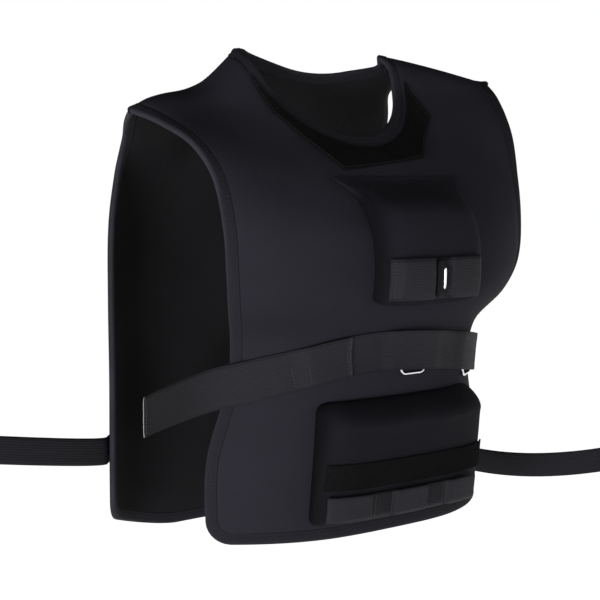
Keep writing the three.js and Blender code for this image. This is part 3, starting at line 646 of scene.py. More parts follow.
def woven_cloth(name, colour, pitch, roughness=0.85):
    """Plain weave: two crossed waves of the thread pitch, over soft blotches of tone and shallow creases."""
    shader = new_shader(name)
    u, v = flat_axes(shader)
    threads = (u * (math.pi / pitch)).sine() * (v * (math.pi / pitch)).sine()
    where = place(shader)
    broad = shader.noise(where, 14, 3)
    creases = shader.noise(where, 55, 4, 0.6)
    fuzz = shader.noise(where, 1400, 1)
    share = broad + fuzz * 0.5 + threads * 0.12 - 0.25
    tone = shader.blend(share, rgb(colour, 1 - MOTTLE), rgb(colour, 1 + MOTTLE))
    # Painted shade: negative values darken the cloth towards a quarter of its colour, in the creases round
    # the pad and the pouch
    tone = shader.blend(shader.attribute("wear") * -1, tone, rgb(colour, 0.25))
    height = threads * 0.5 + creases * CREASE + fuzz * 0.4
    return shader.finish(tone, broad * 0.12 + (roughness - 0.06), height, 0.00025, 0.55,
                         Specular_IOR_Level=0.10)


def lining_mesh(name, colour):
    """Spacer mesh lining: rows of small round holes in a dark knit."""
    shader = new_shader(name)
    u, v = flat_axes(shader)
    holes = (u * (2 * math.pi / HOLE_PITCH)).sine() * (v * (2 * math.pi / HOLE_PITCH)).sine()
    where = place(shader)
    broad = shader.noise(where, 12, 3)
    tone = shader.blend(broad * 0.9 + holes * 0.35, rgb(colour, 0.7), rgb(colour, 1.25))
    return shader.finish(tone, 0.92, holes * 0.8 + broad * 0.6, 0.0004, 0.6, Specular_IOR_Level=0.06)


def ribbed_webbing(name, colour, cut):
    """Webbing: ribs along its length, each crossed by a fine slant of threads, with painted shade between
    loops and on the belt's tail, and a pale painted highlight at a cut end.
    """
    shader = new_shader(name)
    u, v = flat_axes(shader)
    rib = (u * (2 * math.pi / WEBBING_RIB)).sine()
    slant = ((v + u * 0.6) * (2 * math.pi / WEBBING_SLANT)).sine()
    where = place(shader)
    broad = shader.noise(where, 24, 3)
    fuzz = shader.noise(where, 1600, 1)
    share = broad * 0.8 + rib * 0.16 + slant * 0.12 + fuzz * 0.3 - 0.05
    tone = shader.blend(share, rgb(colour, 0.7), rgb(colour, 1.3))
    wear = shader.attribute("wear")
    # Painted shade: negative values darken the webbing towards a fifth of its colour
    tone = shader.blend(wear * -1, tone, rgb(colour, 0.2))
    # Painted highlight: positive values blend towards the pale colour of a cut end
    tone = shader.blend(wear, tone, rgb(cut))
    return shader.finish(tone, broad * 0.15 + 0.6, rib * 0.7 + slant * 0.45 + fuzz * 0.3, 0.0003, 0.6,
                         Specular_IOR_Level=0.16)


def edge_binding(name, colour):
    """Grosgrain tape: fine ribs across it, with a painted highlight along its rounded edge."""
    shader = new_shader(name)
    u, v = flat_axes(shader)
    rib = (v * (2 * math.pi / TAPE_RIB)).sine()
    where = place(shader)
    broad = shader.noise(where, 30, 3)
    fuzz = shader.noise(where, 1200, 2)
    # Painted highlight: towards the nose the tape brightens up to 2.2 times its colour, broken by soft noise
    share = shader.attribute("wear") ** 2 * (broad * 1.3 - 0.1) + fuzz * 0.15
    tone = shader.blend(share, rgb(colour, 0.8), rgb(colour, 2.2))
    return shader.finish(tone, broad * 0.15 + 0.68, rib * 0.7 + fuzz * 0.5, 0.00025, 0.6,
                         Specular_IOR_Level=0.12)


def loop_pile(name, colour):
    """Loop pile: a dense scatter of tiny tufts, pressed flat here and there."""
    shader = new_shader(name)
    where = place(shader)
    tufts = shader.add("ShaderNodeTexVoronoi", {"feature": "F1"}, {"Vector": where, "Scale": 900})["Distance"]
    fuzz = shader.noise(where, 420, 5, 0.75)
    broad = shader.noise(where, 34, 3)
    tone = shader.blend(fuzz * 1.1 + broad * 0.5 - 0.3, rgb(colour, 0.55), rgb(colour, 1.6))
    return shader.finish(tone, 0.96, fuzz * 1.6 - tufts * 0.7 + broad * 0.8, 0.0007, 0.9,
                         Specular_IOR_Level=0.03)


def moulded_plastic(name, colour):
    """Moulded plastic: an even satin skin with a very fine grain."""
    shader = new_shader(name)
    where = place(shader)
    grain = shader.noise(where, 1500, 2)
    broad = shader.noise(where, 60, 2)
    tone = shader.blend(broad, rgb(colour, 0.85), rgb(colour, 1.2))
    return shader.finish(tone, broad * 0.15 + 0.42, grain, 0.00005, 0.5, Specular_IOR_Level=0.08)


def plated_steel(name, colour):
    """Plated wire: bright, with faint drawing marks and duller patches where it has rubbed."""
    shader = new_shader(name)
    where = place(shader)
    marks = shader.noise(where, 700, 3)
    rubbed = shader.noise(where, 160, 3)
    tone = shader.blend(rubbed, rgb(colour, 0.8), rgb(colour, 1.05))
    return shader.finish(tone, rubbed * 0.22 + 0.12, marks, 0.00003, 0.4, Metallic=1.0)


def sewing_thread(name, colour):
    """Bonded thread: twisted, with a low sheen."""
    shader = new_shader(name)
    where = place(shader)
    twist = shader.noise(where, 2500, 1)
    tone = shader.blend(twist, rgb(colour, 0.8), rgb(colour, 1.25))
    return shader.finish(tone, twist * 0.1 + 0.5, twist, 0.0001, 0.5, Specular_IOR_Level=0.2)


MATERIALS = {}


def material(key):
    """The materials of the vest, made once from the colours in the panel."""
    looks = bpy.context.scene.vest_looks
    if not MATERIALS:
        MATERIALS.update({
            "cloth": woven_cloth("Panel cloth", looks.cloth, looks.weave),
            "lining": lining_mesh("Panel lining", looks.lining),
            "pad": woven_cloth("Pad cloth", looks.pad, looks.weave * 0.8, 0.88),
            "pouch": woven_cloth("Pouch cloth", looks.pouch, looks.weave * 1.2, 0.82),
            "tape": edge_binding("Edge tape", looks.tape),
            "webbing": ribbed_webbing("Webbing", looks.webbing, looks.cut),
            "strap": ribbed_webbing("Strap webbing", looks.strap, looks.cut),
            "pile": loop_pile("Loop pile", looks.pile),
            "plastic": moulded_plastic("Slide plastic and painted slot shadow", looks.plastic),
            "steel": plated_steel("Plated steel", looks.steel),
            "thread": sewing_thread("Thread", looks.thread),
            "tack": sewing_thread("Bar tack thread", looks.tack),
        })
    return MATERIALS[key]


def add_stitches(name, path, out, pitch=None, ring=False, thread="thread"):
    """A row of stitches: at even distances along a path, a small long bead that lies on the surface."""
    looks = bpy.context.scene.vest_looks
    pitch = pitch or looks.stitch_pitch
    if ring:
        path = np.concatenate([path, path[:1]])
        out = np.concatenate([out, out[:1]])
    distance = np.concatenate([[0], np.cumsum(np.linalg.norm(np.diff(path, axis=0), axis=1))])
    count = max(2, int(distance[-1] / pitch))
    spots = (np.arange(count) + 0.5) / count * distance[-1]

    def sample(values, where):
        return np.stack([np.interp(where, distance, values[:, k]) for k in range(3)], -1)

    centre = sample(path, spots)
    ahead = unit(sample(path, spots + pitch * 0.2) - sample(path, spots - pitch * 0.2))
    up = unit(sample(out, spots))
    side = unit(np.cross(up, ahead))
    around = np.arange(6) / 6 * 2 * math.pi
    reach = np.array([-0.62, 0.0, 0.62])
    fat = np.array([0.75, 1.0, 0.75])
    half, thick = looks.stitch_length / 2, looks.thread_size / 2
    ring_points = np.stack([
        np.repeat(reach * half, 6),
        (fat[:, None] * np.cos(around) * thick).ravel(),
        (fat[:, None] * np.sin(around) * thick).ravel(),
    ], -1)
    bead = np.concatenate([[[-half, 0, -thick]], ring_points, [[half, 0, -thick]]])
    faces = [[0, 1 + (k + 1) % 6, 1 + k, 1 + k] for k in range(6)]
    for r in range(2):
        faces += [[1 + r * 6 + k, 1 + r * 6 + (k + 1) % 6, 7 + r * 6 + (k + 1) % 6, 7 + r * 6 + k]
                  for k in range(6)]
    faces += [[19, 13 + k, 13 + (k + 1) % 6, 13 + (k + 1) % 6] for k in range(6)]
    points = (centre[:, None] + ahead[:, None] * bead[None, :, :1] + side[:, None] * bead[None, :, 1:2]
              + up[:, None] * bead[None, :, 2:])
    faces = (np.array(faces)[None] + (np.arange(count) * len(bead))[:, None, None]).reshape(-1, 4)
    points = points.reshape(-1, 3)
    return add_piece(name, points, faces, points[:, :2], [material(thread)])


def make_panel(name, shape, seed):
    """A padded wall: both skins swell between their edges, thin down where they are sewn, and crease."""
    middle, out = panel_grid(shape, STRAP_STEPS, NECK_STEPS, PANEL_ROWS)
    folds = ripple(middle, 0.11, seed) + 0.4 * ripple(middle, 0.045, seed + 1)
    rows, cols = middle.shape[:2]
    sides = np.minimum(arc(middle, 1), arc(middle[:, ::-1], 1)[:, ::-1])
    ends = np.minimum(arc(middle, 0), arc(middle[::-1], 0)[::-1])
    inside = np.minimum(sides, ends)
    swell = 1 - EDGE_SINK * np.exp(-inside / 0.006)
    lift = (WALL / 2) * swell + folds * bpy.context.scene.vest_looks.folds * smooth(inside, 0.004, 0.04)
    outer = middle + out * lift[..., None]
    inner = middle - out * (WALL / 2 * swell - folds * INSIDE_FOLDS)[..., None]
    piece = add_slab(name, outer, inner, [material("cloth"), material("lining")],
                     (name.replace("_cloth", ""),))
    return middle, out


def tape_sections(path, out, turn, start, ring=False):
    """The tape's section along a path: folded round the cloth's edge, thin at its laps, round at its nose."""
    high = WALL / 2 + TAPE_STEP
    if ring:
        ahead = np.roll(path, -1, 0) - np.roll(path, 1, 0)
    else:
        ahead = np.gradient(path, axis=0)
    away = unit(np.cross(ahead, out)) * turn
    nose = np.linspace(0.5, -0.5, 9)[1:-1] * math.pi
    flat = EDGE_BAND - high * 0.9
    lap = np.array([-LAP_REACH, -LAP_BEND, start + 0.001, flat])
    lap_lift = high * np.array([0.67, 0.69, 0.75, 0.88])
    under = np.array([lap[0], start, start, lap[0]])
    reach = np.concatenate([lap, flat + np.cos(nose) * high * 0.85, lap[::-1], under])
    lift = np.concatenate([lap_lift, np.sin(nose) * high * 0.86, -lap_lift[::-1],
                           np.array([-1, -1, 1, 1]) * (lap_lift[0] - TAPE_SKIN)])
    sections = path[:, None] + away[:, None] * reach[None, :, None] + out[:, None] * lift[None, :, None]
    # Painted highlight along the rounded nose: 1 at its middle, 0 on the laps
    wear = np.concatenate([np.zeros(4), np.cos(nose), np.zeros(8)])
    line = path + away * (start + SEAM_INSET)
    rise = out * (high * 0.76 + STITCH_RISE)
    return sections, np.tile(wear, (len(path), 1)), line + rise, line - rise


def colour_value(name, description, default):
    """A colour in the sidebar."""
    return FloatVectorProperty(name=name, description=description, subtype="COLOR", default=default, min=0,
                               max=1)


def length_value(name, description, default, low, high):
    """A length in the sidebar."""
    return FloatProperty(name=name, description=description, unit="LENGTH", default=default, min=low,
                         max=high)


def share_value(name, description, default):
    """A share from nothing to all in the sidebar."""
    return FloatProperty(name=name, description=description, subtype="FACTOR", default=default, min=0,
                         max=1)


class VestLooks(bpy.types.PropertyGroup):
    """Colours and sizes that change the vest's finish."""

    cloth: colour_value("Panel cloth", "Colour of the padded panels", (0.0215, 0.0200, 0.0275))
    lining: colour_value("Lining", "Colour of the panels' inside", (0.0215, 0.0209, 0.0232))
    pad: colour_value("Pad cloth", "Colour of the chest pad", (0.0150, 0.0140, 0.0198))
    pouch: colour_value("Pouch cloth", "Colour of the weight pouch", (0.0085, 0.0079, 0.0113))
    tape: colour_value("Edge tape", "Colour of the tape on every edge", (0.0185, 0.0175, 0.0235))
    webbing: colour_value("Webbing", "Colour of the belt and loops", (0.0165, 0.0158, 0.0208))
    strap: colour_value("Back strap", "Colour of the strap with free tails", (0.0100, 0.0094, 0.0128))
    # Pale colour of the painted highlight where the webbing's cut ends catch the light
    cut: colour_value("Cut end highlight", "Colour of the painted highlight at the webbing's cut ends", (0.55, 0.55, 0.56))
    pile: colour_value("Loop pile", "Colour of the pile patches", (0.0072, 0.0070, 0.0076))
    # Near black: the colour of the moulded slide, also standing in as painted shadow for the deep shade in
    # its slot
    plastic: colour_value("Slide", "Colour of the moulded slide", (0.0035, 0.0035, 0.004))
    steel: colour_value("Steel", "Colour of the rings and the pin", (0.78, 0.79, 0.81))
    thread: colour_value("Thread", "Colour of the stitching", (0.012, 0.012, 0.014))
    tack: colour_value("Bar tacks", "Colour of the stitching across the webbing", (0.045, 0.043, 0.050))
    weave: length_value("Weave", "Distance between threads of the cloth", 0.0009, 0.0002, 0.01)
    folds: length_value("Folds", "Height of the panels' soft folds", 0.0011, 0, 0.004)
    stitch_length: length_value("Stitch length", "Length of one stitch", 0.0029, 0.001, 0.01)
    stitch_pitch: length_value("Stitch pitch", "Distance from stitch to stitch", 0.0040, 0.001, 0.02)
    thread_size: length_value("Thread size", "Thickness of the thread", 0.00075, 0.0002, 0.002)
    pad_fill: share_value("Pad fill", "How full the chest pad is", 0.7)
    pouch_fill: share_value("Pouch fill", "How full the weight pouch is", 0.8)


GRIDS = {}


class VEST_OT_panels(bpy.types.Operator):
    """Make the front and back panels"""

    bl_idname = "vest.panels"
    bl_label = "Panels"

    def execute(self, context):
        GRIDS["front"] = make_panel("front_panel_cloth", FRONT, 4)
        GRIDS["back"] = make_panel("back_panel_cloth", BACK, 9)
        return {"FINISHED"}


class VEST_OT_edges(bpy.types.Operator):
    """Bind the edges of the panels and the neck hole with tape, and stitch it down"""

    bl_idname = "vest.edges"
    bl_label = "Edge tapes"

    def execute(self, context):
        for key, turn in (("front", 1), ("back", -1)):
            middle, out = GRIDS[key]
            path, facing = outer_path(middle), outer_path(out)
            sections, wear, seam, inside = tape_sections(path, facing, turn, EDGE_START)
            name = key + "_edge_tape"
            add_tube(name + "_cloth", sections, [material("tape")], (name,), attribute=wear)
            add_stitches(name + "_stitches", seam, facing)
            add_stitches(name + "_stitches_inside", inside, -facing)
        round_neck = slice(STRAP_STEPS, STRAP_STEPS + NECK_STEPS + 1)
        front_middle, front_out = (grid[-1, round_neck] for grid in GRIDS["front"])
        back_middle, back_out = (grid[-1, round_neck] for grid in GRIDS["back"])
        path = np.concatenate([front_middle, back_middle[::-1][1:-1]])
        facing = np.concatenate([front_out, back_out[::-1][1:-1]])
        path[0] = (front_middle[0] + back_middle[0]) / 2
        path[NECK_STEPS] = (front_middle[-1] + back_middle[-1]) / 2
        sections, wear, seam, inside = tape_sections(path, facing, -1, NECK_START, ring=True)
        add_tube("neck_tape_cloth", sections, [material("tape")], ("neck_tape",), ring=True,
                 attribute=wear)
        add_stitches("neck_tape_stitches", seam, facing, ring=True)
        return {"FINISHED"}


def layer_grid(place_at, rows, cols, under, thick=1.0, carrier=None):
    """A piece that lies on the front: its outer and inner grid and the way they face.

    place_at gives x, z and the height of the outer face, in parts of thick, for u from -1 to 1 and v from
    0 to 1. under is the room below the piece, and carrier the height of what it lies on.
    """
    u, v = np.meshgrid(np.linspace(-1, 1, cols + 1), np.linspace(0, 1, rows + 1))
    x, z, height = place_at(u, v)
    base = carrier or (lambda a, b: 0.0 * a)
    inner, out = stand(FRONT, x, z, lambda a, b: under + base(a, b))
    outer = inner + out * (height * thick)[..., None]
    return outer, inner, out, u, v


def crowd(u, power=1.6):
    """Moves even steps towards the two ends."""
    return np.sign(u) * (1 - (1 - np.abs(u)) ** power)


def patch_place(u, v):
    """From an arc round the neck tape down to a trapezium that is short side down."""
    turn = u * 0.42 * math.pi
    start = NECK_HALF + EDGE_BAND + PATCH_MARGIN
    deepest = -on_panel(FRONT, 0.0, FRONT["neck"])[2] + EDGE_BAND + PATCH_MARGIN
    s = np.maximum(0, (np.abs(u) - 0.5) / 0.5)
    low_half = PATCH_LOW_HALF - np.where(u > 0, PATCH_NARROW, 0)
    half = low_half * np.minimum(1, np.abs(u) / 0.5)
    half = half + (PATCH_TOP_HALF - half) * s
    low_drop = PATCH_LOW_DROP - PATCH_RISE * np.clip(u + 0.5, 0, 1)
    drop = low_drop + (PATCH_TOP_DROP - low_drop) * s
    x = start * np.sin(turn) * (1 - v) + (MIDDLE_X + np.sign(u) * half) * v
    z = -(deepest * np.cos(turn) * (1 - v) + drop * v)
    return x, z, np.ones_like(u)


def corner_cut(from_edge, radius):
    """What a rounded corner takes off an outline, at a distance from the edge that it ends at."""
    rise = np.maximum(0, radius - from_edge)
    return radius - np.sqrt(radius ** 2 - rise ** 2)


def pad_half_at(v):
    """The pad's half-width: drawn in below its wide top, and rounded at its lower corners."""
    flare = PAD_FLARE * np.maximum(0, 1 - v / PAD_DRAWN) ** 1.6
    return PAD_HALF + flare - corner_cut((1 - v) * PAD_LENGTH, PAD_CORNER)


def pad_height(u, v):
    """The pad rises slowly from its top and falls at its sides and foot."""
    sides = np.sqrt(np.maximum(0, 1 - np.abs(u) ** 4))
    rise = np.minimum(1, v * 2.4 + 0.12) ** 0.9
    foot = np.sqrt(np.maximum(0, 1 - np.maximum(0, (v - 0.9) / 0.1) ** 4))
    return PAD_RIM + (PAD_THICK - PAD_RIM) * sides * rise * foot


def pad_soft(u, v):
    """The sewn pad's height: the pad's own, but drawn down to thin cloth round its whole rim."""
    rim = PAD_RIM * (0.25 + 0.75 * smooth(v, 0, 0.14)) * (0.35 + 0.65 * smooth(1 - np.abs(u), 0, 0.04))
    full = pad_height(u, v) - PAD_RIM
    return rim + full * smooth(v, -0.01, 0.34)


def pad_lift(x, z):
    """Height of the pad's face over the panel at x and z."""
    v = np.clip((-z - PAD_TOP_DROP) / PAD_LENGTH, 0, 1)
    u = np.clip((x - MIDDLE_X) / pad_half_at(v), -1, 1)
    return PAD_UNDER + pad_height(u, v)


def pouch_cut(v):
    """What the pouch's rounded corners take off its half-width."""
    return corner_cut(np.minimum(v, 1 - v) * POUCH_LENGTH, POUCH_CORNER)


def pouch_x(u, v):
    """Across the pouch, whose right side reaches further at its foot."""
    return MIDDLE_X + POUCH_HALF * u - POUCH_FLARE * v * (1 - u) / 2 - u * pouch_cut(v)


def pouch_height(u, v):
    """The pouch slopes up to a roll near its top, then thins towards its foot."""
    top = np.sin(np.clip(v / 0.2, 0, 1) * math.pi / 2) ** 0.8
    low = 1 - 0.5 * np.clip((v - 0.2) / 0.8, 0, 1) ** 0.8
    roll = np.where(v < 0.2, top, low)
    sides = np.sqrt(np.maximum(0, 1 - np.abs(u) ** 6))
    foot = np.sqrt(np.maximum(0, 1 - np.maximum(0, (v - 0.93) / 0.07) ** 2))
    return POUCH_RIM + (POUCH_THICK - POUCH_RIM) * roll * sides * foot


def pouch_lift(x, z):
    """Height of the pouch's face over the panel at x and z."""
    v = np.clip((-z - POUCH_TOP_DROP) / POUCH_LENGTH, 0, 1)
    u = (x - MIDDLE_X + POUCH_FLARE * v / 2) / (POUCH_HALF + POUCH_FLARE * v / 2 - pouch_cut(v))
    return PAD_UNDER + pouch_height(np.clip(u, -1, 1), v)


class VEST_OT_neck_patch(bpy.types.Operator):
    """Lay the loop pile patch under the neckline"""

    bl_idname = "vest.neck_patch"
    bl_label = "Neck patch"

    def execute(self, context):
        outer, inner, out, u, v = layer_grid(patch_place, 30, 110, REST, PATCH_THICK)
        edge = np.minimum(1 - np.abs(u), np.minimum(v, 1 - v) * 2)
        tufts = ripple(outer, TUFT_SIZE, 3) * TUFT_HEIGHT
        outer += out * (tufts - PATCH_EDGE_SINK * np.exp(-edge / 0.012))[..., None]
        add_slab("neck_patch_pile", outer, inner, [material("pile")], ("neck_patch",))
        rim = np.concatenate([outer[1:-1, 2], outer[-3, 2:-2], outer[1:-1, -3][::-1]])
        facing = np.concatenate([out[1:-1, 2], out[-3, 2:-2], out[1:-1, -3][::-1]])
        add_stitches("neck_patch_stitches", rim + facing * STITCH_RISE, facing)
        return {"FINISHED"}


class VEST_OT_chest_pad(bpy.types.Operator):
    """Make the raised chest pad with its sewn rim"""

    bl_idname = "vest.chest_pad"
    bl_label = "Chest pad"

    def execute(self, context):
        def pad_place(t, s):
            u = crowd(t)
            v = (1 + crowd(2 * s - 1)) / 2
            return MIDDLE_X + u * pad_half_at(v), -PAD_TOP_DROP - PAD_LENGTH * v, pad_soft(u, v)

        outer, inner, out, t, s = layer_grid(pad_place, 70, 70, PAD_UNDER)
        edge = np.minimum(1 - np.abs(crowd(t)), np.minimum(s, 1 - s) * 2)
        folds = ripple(outer, 0.05, 21) * 0.0009 + ripple(outer, 0.02, 22) * 0.0003
        outer += out * (folds * smooth(edge, 0.02, 0.25))[..., None]
        u, v = crowd(t), (1 + crowd(2 * s - 1)) / 2
        rim = np.minimum((1 - np.abs(u)) * PAD_HALF, (1 - v) * PAD_LENGTH + 0.002)
        # Painted shade in the crease round the pad's sides and foot, fading out towards its top
        shade = -RIM_SHADE * np.exp(-(rim / PAD_CREASE) ** 2) * smooth(v, 0.02, 0.2)
        piece = add_slab("chest_pad_cloth", outer, inner, [material("pad")], ("chest_pad",),
                         shade)
        return {"FINISHED"}


def webbing_sections(middle, up, out, width, thick, across=11):
    """A strap's closed section at each station: two faces, thin at the selvedges."""
    r = np.linspace(-1, 1, across)
    half = thick / 2 * (1 - 0.55 * np.abs(r) ** 10)
    rows = np.concatenate([r, r[::-1]])
    lift = np.concatenate([half, -half[::-1]])
    return (middle[:, None] + up[:, None] * (rows * width / 2)[None, :, None]
            + out[:, None] * lift[None, :, None])


def face_sections(inner_face, out, thick):
    """A strap that lies on a surface: from its inner face's rows of points and the way they face."""
    across = inner_face.shape[1]
    r = np.linspace(-1, 1, across)
    slim = thick * 0.3 * np.abs(r) ** 10
    top = inner_face + out * (thick - slim)[None, :, None]
    low = inner_face + out * slim[None, :, None]
    return np.concatenate([top, low[:, ::-1]], axis=1)


def loop_rows(first, count, length, space):
    """Start and end of each loop in a row."""
    starts = first + np.arange(count) * (length + space)
    return np.stack([starts, starts + length], -1)


def loop_arch(x, loops):
    """How far webbing stands off at x: arched over each loop and flat between."""
    height = np.zeros_like(x)
    for start, end in loops:
        s = np.clip((x - start) / (end - start), 0, 1)
        height += LOOP_RISE * np.minimum(1, 3.4 * np.sqrt(s * (1 - s)))
    return height


def looped_webbing(name, loops, tack, drop, width, lift_at, under, replaced):
    """Webbing across a bulging piece, arched over its loops, with stitches beside both ends of each loop."""
    start, end = loops[0, 0] - tack, loops[-1, 1] + tack
    spread = [np.linspace(start, end, 120)]
    spread += [a + (b - a) * (1 - np.cos(np.linspace(0, math.pi, 25))) / 2 for a, b in loops]
    x = np.unique(np.concatenate(spread))
    r = np.linspace(-0.5, 0.5, 9)
    grid_x, grid_z = np.meshgrid(x, -drop + r * width, indexing="ij")

    def arched(a, b):
        return lift_at(a, b) + under + loop_arch(a, loops)

    def over_tacks(a, b):
        return lift_at(a, b) + under + WEBBING_THICK

    inner, out = stand(FRONT, grid_x, grid_z, arched)
    sections = face_sections(inner, out, WEBBING_THICK)
    # Painted shade on the flat webbing between loops, fading up each loop's end
    between = [(a + b) / 2 for a, b in zip(loops[:-1, 1], loops[1:, 0])]
    space = (loops[1:, 0] - loops[:-1, 1]).mean()
    from_gap = np.min([np.abs(x - middle) for middle in between], axis=0) - space / 2
    shade = -LOOP_SHADE * (1 - smooth(from_gap, -0.004, 0.003))
    shade = np.repeat(shade[:, None], sections.shape[1], axis=1)
    add_tube(name + "_cloth", sections, [material("webbing")], replaced, attribute=shade)
    tacks = np.concatenate([loops[:, 0] - TACK_BESIDE, loops[:, 1] + TACK_BESIDE])
    inner_z = -drop + np.linspace(-0.44, 0.44, 40) * width
    for k, at in enumerate(sorted(tacks)):
        line, facing = stand(FRONT, np.full(40, at), inner_z, over_tacks)
        add_stitches(f"{name}_stitches_{k}", line, facing, TACK_PITCH, thread="tack")


def rounded_bar(name, x, length, width, material_key, replaced):
    """A bar that stands on the chest pad: a rounded section carried up, closing to a dome at both ends."""
    thick = PIN_WIRE
    lift = 3.4 * REST + WEBBING_THICK
    along_bar = np.linspace(-1, 1, 28)
    z = -CHEST_BAND_DROP + along_bar * length / 2
    shrink = np.sqrt(np.maximum(0.02, 1 - np.abs(along_bar) ** 10))
    foot, out = stand(FRONT, np.full_like(z, x), z, lambda a, b: pad_lift(a, b) + lift + thick / 2)
    ahead = unit(np.gradient(foot, axis=0))
    side = unit(np.cross(ahead, out))
    turn = np.linspace(0, 2 * math.pi, 20, endpoint=False)
    wide = np.sign(np.cos(turn)) * np.abs(np.cos(turn)) ** 0.6 * width / 2
    high = np.sign(np.sin(turn)) * np.abs(np.sin(turn)) ** 0.6 * thick / 2
    sections = (foot[:, None] + side[:, None] * (wide[None] * shrink[:, None])[..., None]
                + out[:, None] * (high[None] * shrink[:, None])[..., None])
    add_tube(name, sections, [material(material_key)], replaced)


class VEST_OT_chest_webbing(bpy.types.Operator):
    """Sew the webbing, its slide and the steel pin on the chest pad"""

    bl_idname = "vest.chest_webbing"
    bl_label = "Chest webbing"

    def execute(self, context):
        loops = loop_rows(CHEST_START, 2, CHEST_LOOP, CHEST_LOOP_GAP)
        looped_webbing("chest_webbing", loops, CHEST_TACK, CHEST_BAND_DROP, WIDE, pad_lift, 2.4 * REST,
                       ("chest_webbing",))
        # The near-black plate is a real slide and also painted shadow: it fills the slot between the last
        # loop and the pin, whose darkness is shade
        slide_x = CHEST_START + CHEST_LOOP + GAP + SLIDE_WIDTH / 2
        rounded_bar("chest_slide_plate", slide_x, SLIDE_LENGTH, SLIDE_WIDTH, "plastic",
                    ("chest_slide",))
        pin_x = CHEST_START + CHEST_LOOP + SLIDE_WIDTH + 3 * GAP + PIN_WIRE / 2
        rounded_bar("slide_pin_wire", pin_x, PIN_LENGTH, PIN_WIRE, "steel", ("slide_pin",))
        return {"FINISHED"}


class VEST_OT_pouch(bpy.types.Operator):
    """Make the weight pouch with its pile strip and looped webbing"""

    bl_idname = "vest.pouch"
    bl_label = "Weight pouch"

    def execute(self, context):
        def pouch_place(t, v):
            u = crowd(t)
            return pouch_x(u, v), -POUCH_TOP_DROP - POUCH_LENGTH * v, pouch_height(u, v)

        outer, inner, out, t, v = layer_grid(pouch_place, 80, 110, PAD_UNDER)
        edge = np.minimum(1 - np.abs(crowd(t)), np.minimum(v, 1 - v) * 2)
        folds = ripple(outer, 0.06, 31) * 0.0010 + ripple(outer, 0.022, 32) * 0.0004
        free = 1 - smooth(v, 0.42, 0.5)
        outer += out * (folds * smooth(edge, 0.02, 0.2) * free)[..., None]
        rim = (1 - np.abs(crowd(t))) * POUCH_HALF
        # Painted shade in the creases along the pouch's two sides
        shade = -RIM_SHADE * np.exp(-(rim / POUCH_CREASE) ** 2)
        piece = add_slab("weight_pouch_cloth", outer, inner, [material("pouch")],
                         ("weight_pouch",), shade)

        def strip_place(t, v):
            z = -STRIP_DROP + STRIP_WIDTH * (0.5 - v)
            x = pouch_x(crowd(t) * STRIP_REACH, (-z - POUCH_TOP_DROP) / POUCH_LENGTH)
            return x, z, np.ones_like(t)

        outer, inner, out = layer_grid(strip_place, 14, 120, REST, PATCH_THICK, pouch_lift)[:3]
        outer += out * (ripple(outer, TUFT_SIZE, 5) * TUFT_HEIGHT)[..., None]
        add_slab("pouch_pile_strip_pile", outer, inner, [material("pile")],
                 ("pouch_pile_strip",))
        loops = loop_rows(float(pouch_x(-1, BAND_AT)) + POUCH_LOOP_INSET, 3, POUCH_LOOP, POUCH_LOOP_GAP)
        looped_webbing("pouch_webbing", loops, LOOP_TACK / 2, BAND_DROP, BAND_WIDTH, pouch_lift, 2.6 * REST,
                       ("pouch_webbing",))
        return {"FINISHED"}


WAIST_AT = float(share_at(FRONT, 0.0, -BELT_DROP))


def waist_half(side):
    """Half-width of the front at the belt."""
    return float(half_width(FRONT, np.array(float(side)), WAIST_AT))


RING_EDGE_X = waist_half(1) - RING_EDGE_INSET


def ring_room(x):
    """The room that a ring takes under the belt at x."""
    away = np.minimum(np.abs(x - RING_FRONT_X), np.abs(x - RING_EDGE_X)) - RING_WIDTH / 2
    return (RING_WIRE + 1.5 * REST) * (1 - smooth(away, RING_CLEAR, RING_FADE))


def strap_on(shape, run, drop, half, across, lift, width, thick, rows=11):
    """A strap's sections on a panel, square to the line of its middle."""
    def drop_at(share):
        return along(run, 1, share) * drop

    step = 0.01
    slope = (drop_at(across + step) - drop_at(across - step)) / (2 * step * half)
    size = np.hypot(slope, 1)
    r = np.linspace(-0.5, 0.5, rows)[None]
    x = (across * half)[:, None] + r * width * (slope / size)[:, None]
    z = -drop_at(across)[:, None] + r * width / size[:, None]
    lifts = np.broadcast_to(lift[:, None], x.shape)
    inner, out = stand(shape, x, z, lifts)
    return face_sections(inner, out, thick), inner, out


def belt_on(across, extra):
    """The belt's sections on the front, over the rings and over the edge tapes."""
    half = np.where(across < 0, waist_half(-1), waist_half(1))
    over_tape = (TAPE_STEP + GAP) * smooth(np.abs(across), 0.84, 0.92)
    lift = REST + over_tape + ring_room(across * half) + extra
    return strap_on(FRONT, BELT_RUN, BELT_DROP, half, across, lift, WIDE, BELT_THICK)


def middle_of(inner, out, thick):
    """A strap's middle line, its upward direction and the way it faces, at each station."""
    centre = inner[:, inner.shape[1] // 2]
    facing = out[:, out.shape[1] // 2]
    up = unit(inner[:, -1] - inner[:, 0])
    return centre + facing * thick / 2, up, facing


def free_end(start, up, facing, before, tail, count=40):
    """A free end: a curve with one bend point, which leaves in line with the strap."""
    leave = unit(start - before) * tail["bend"]
    end = start + np.array(tail["way"]) * tail["length"]
    bend_point = start + leave - np.array([0, 0, tail["sag"]])
    s = 1 - (1 - (np.arange(count) + 1)[:, None] / count) ** 1.5
    points = (1 - s) ** 2 * start + 2 * s * (1 - s) * bend_point + s * s * end
    ahead = unit(2 * (1 - s) * (bend_point - start) + 2 * s * (end - bend_point))
    side = math.copysign(1, float(np.cross(leave, up) @ facing))
    ups = up * (1 - s ** 0.5) + np.array([0, 0, 1.0]) * s ** 0.5
    outs = unit(np.cross(ahead, ups)) * side
    return points, ups, outs


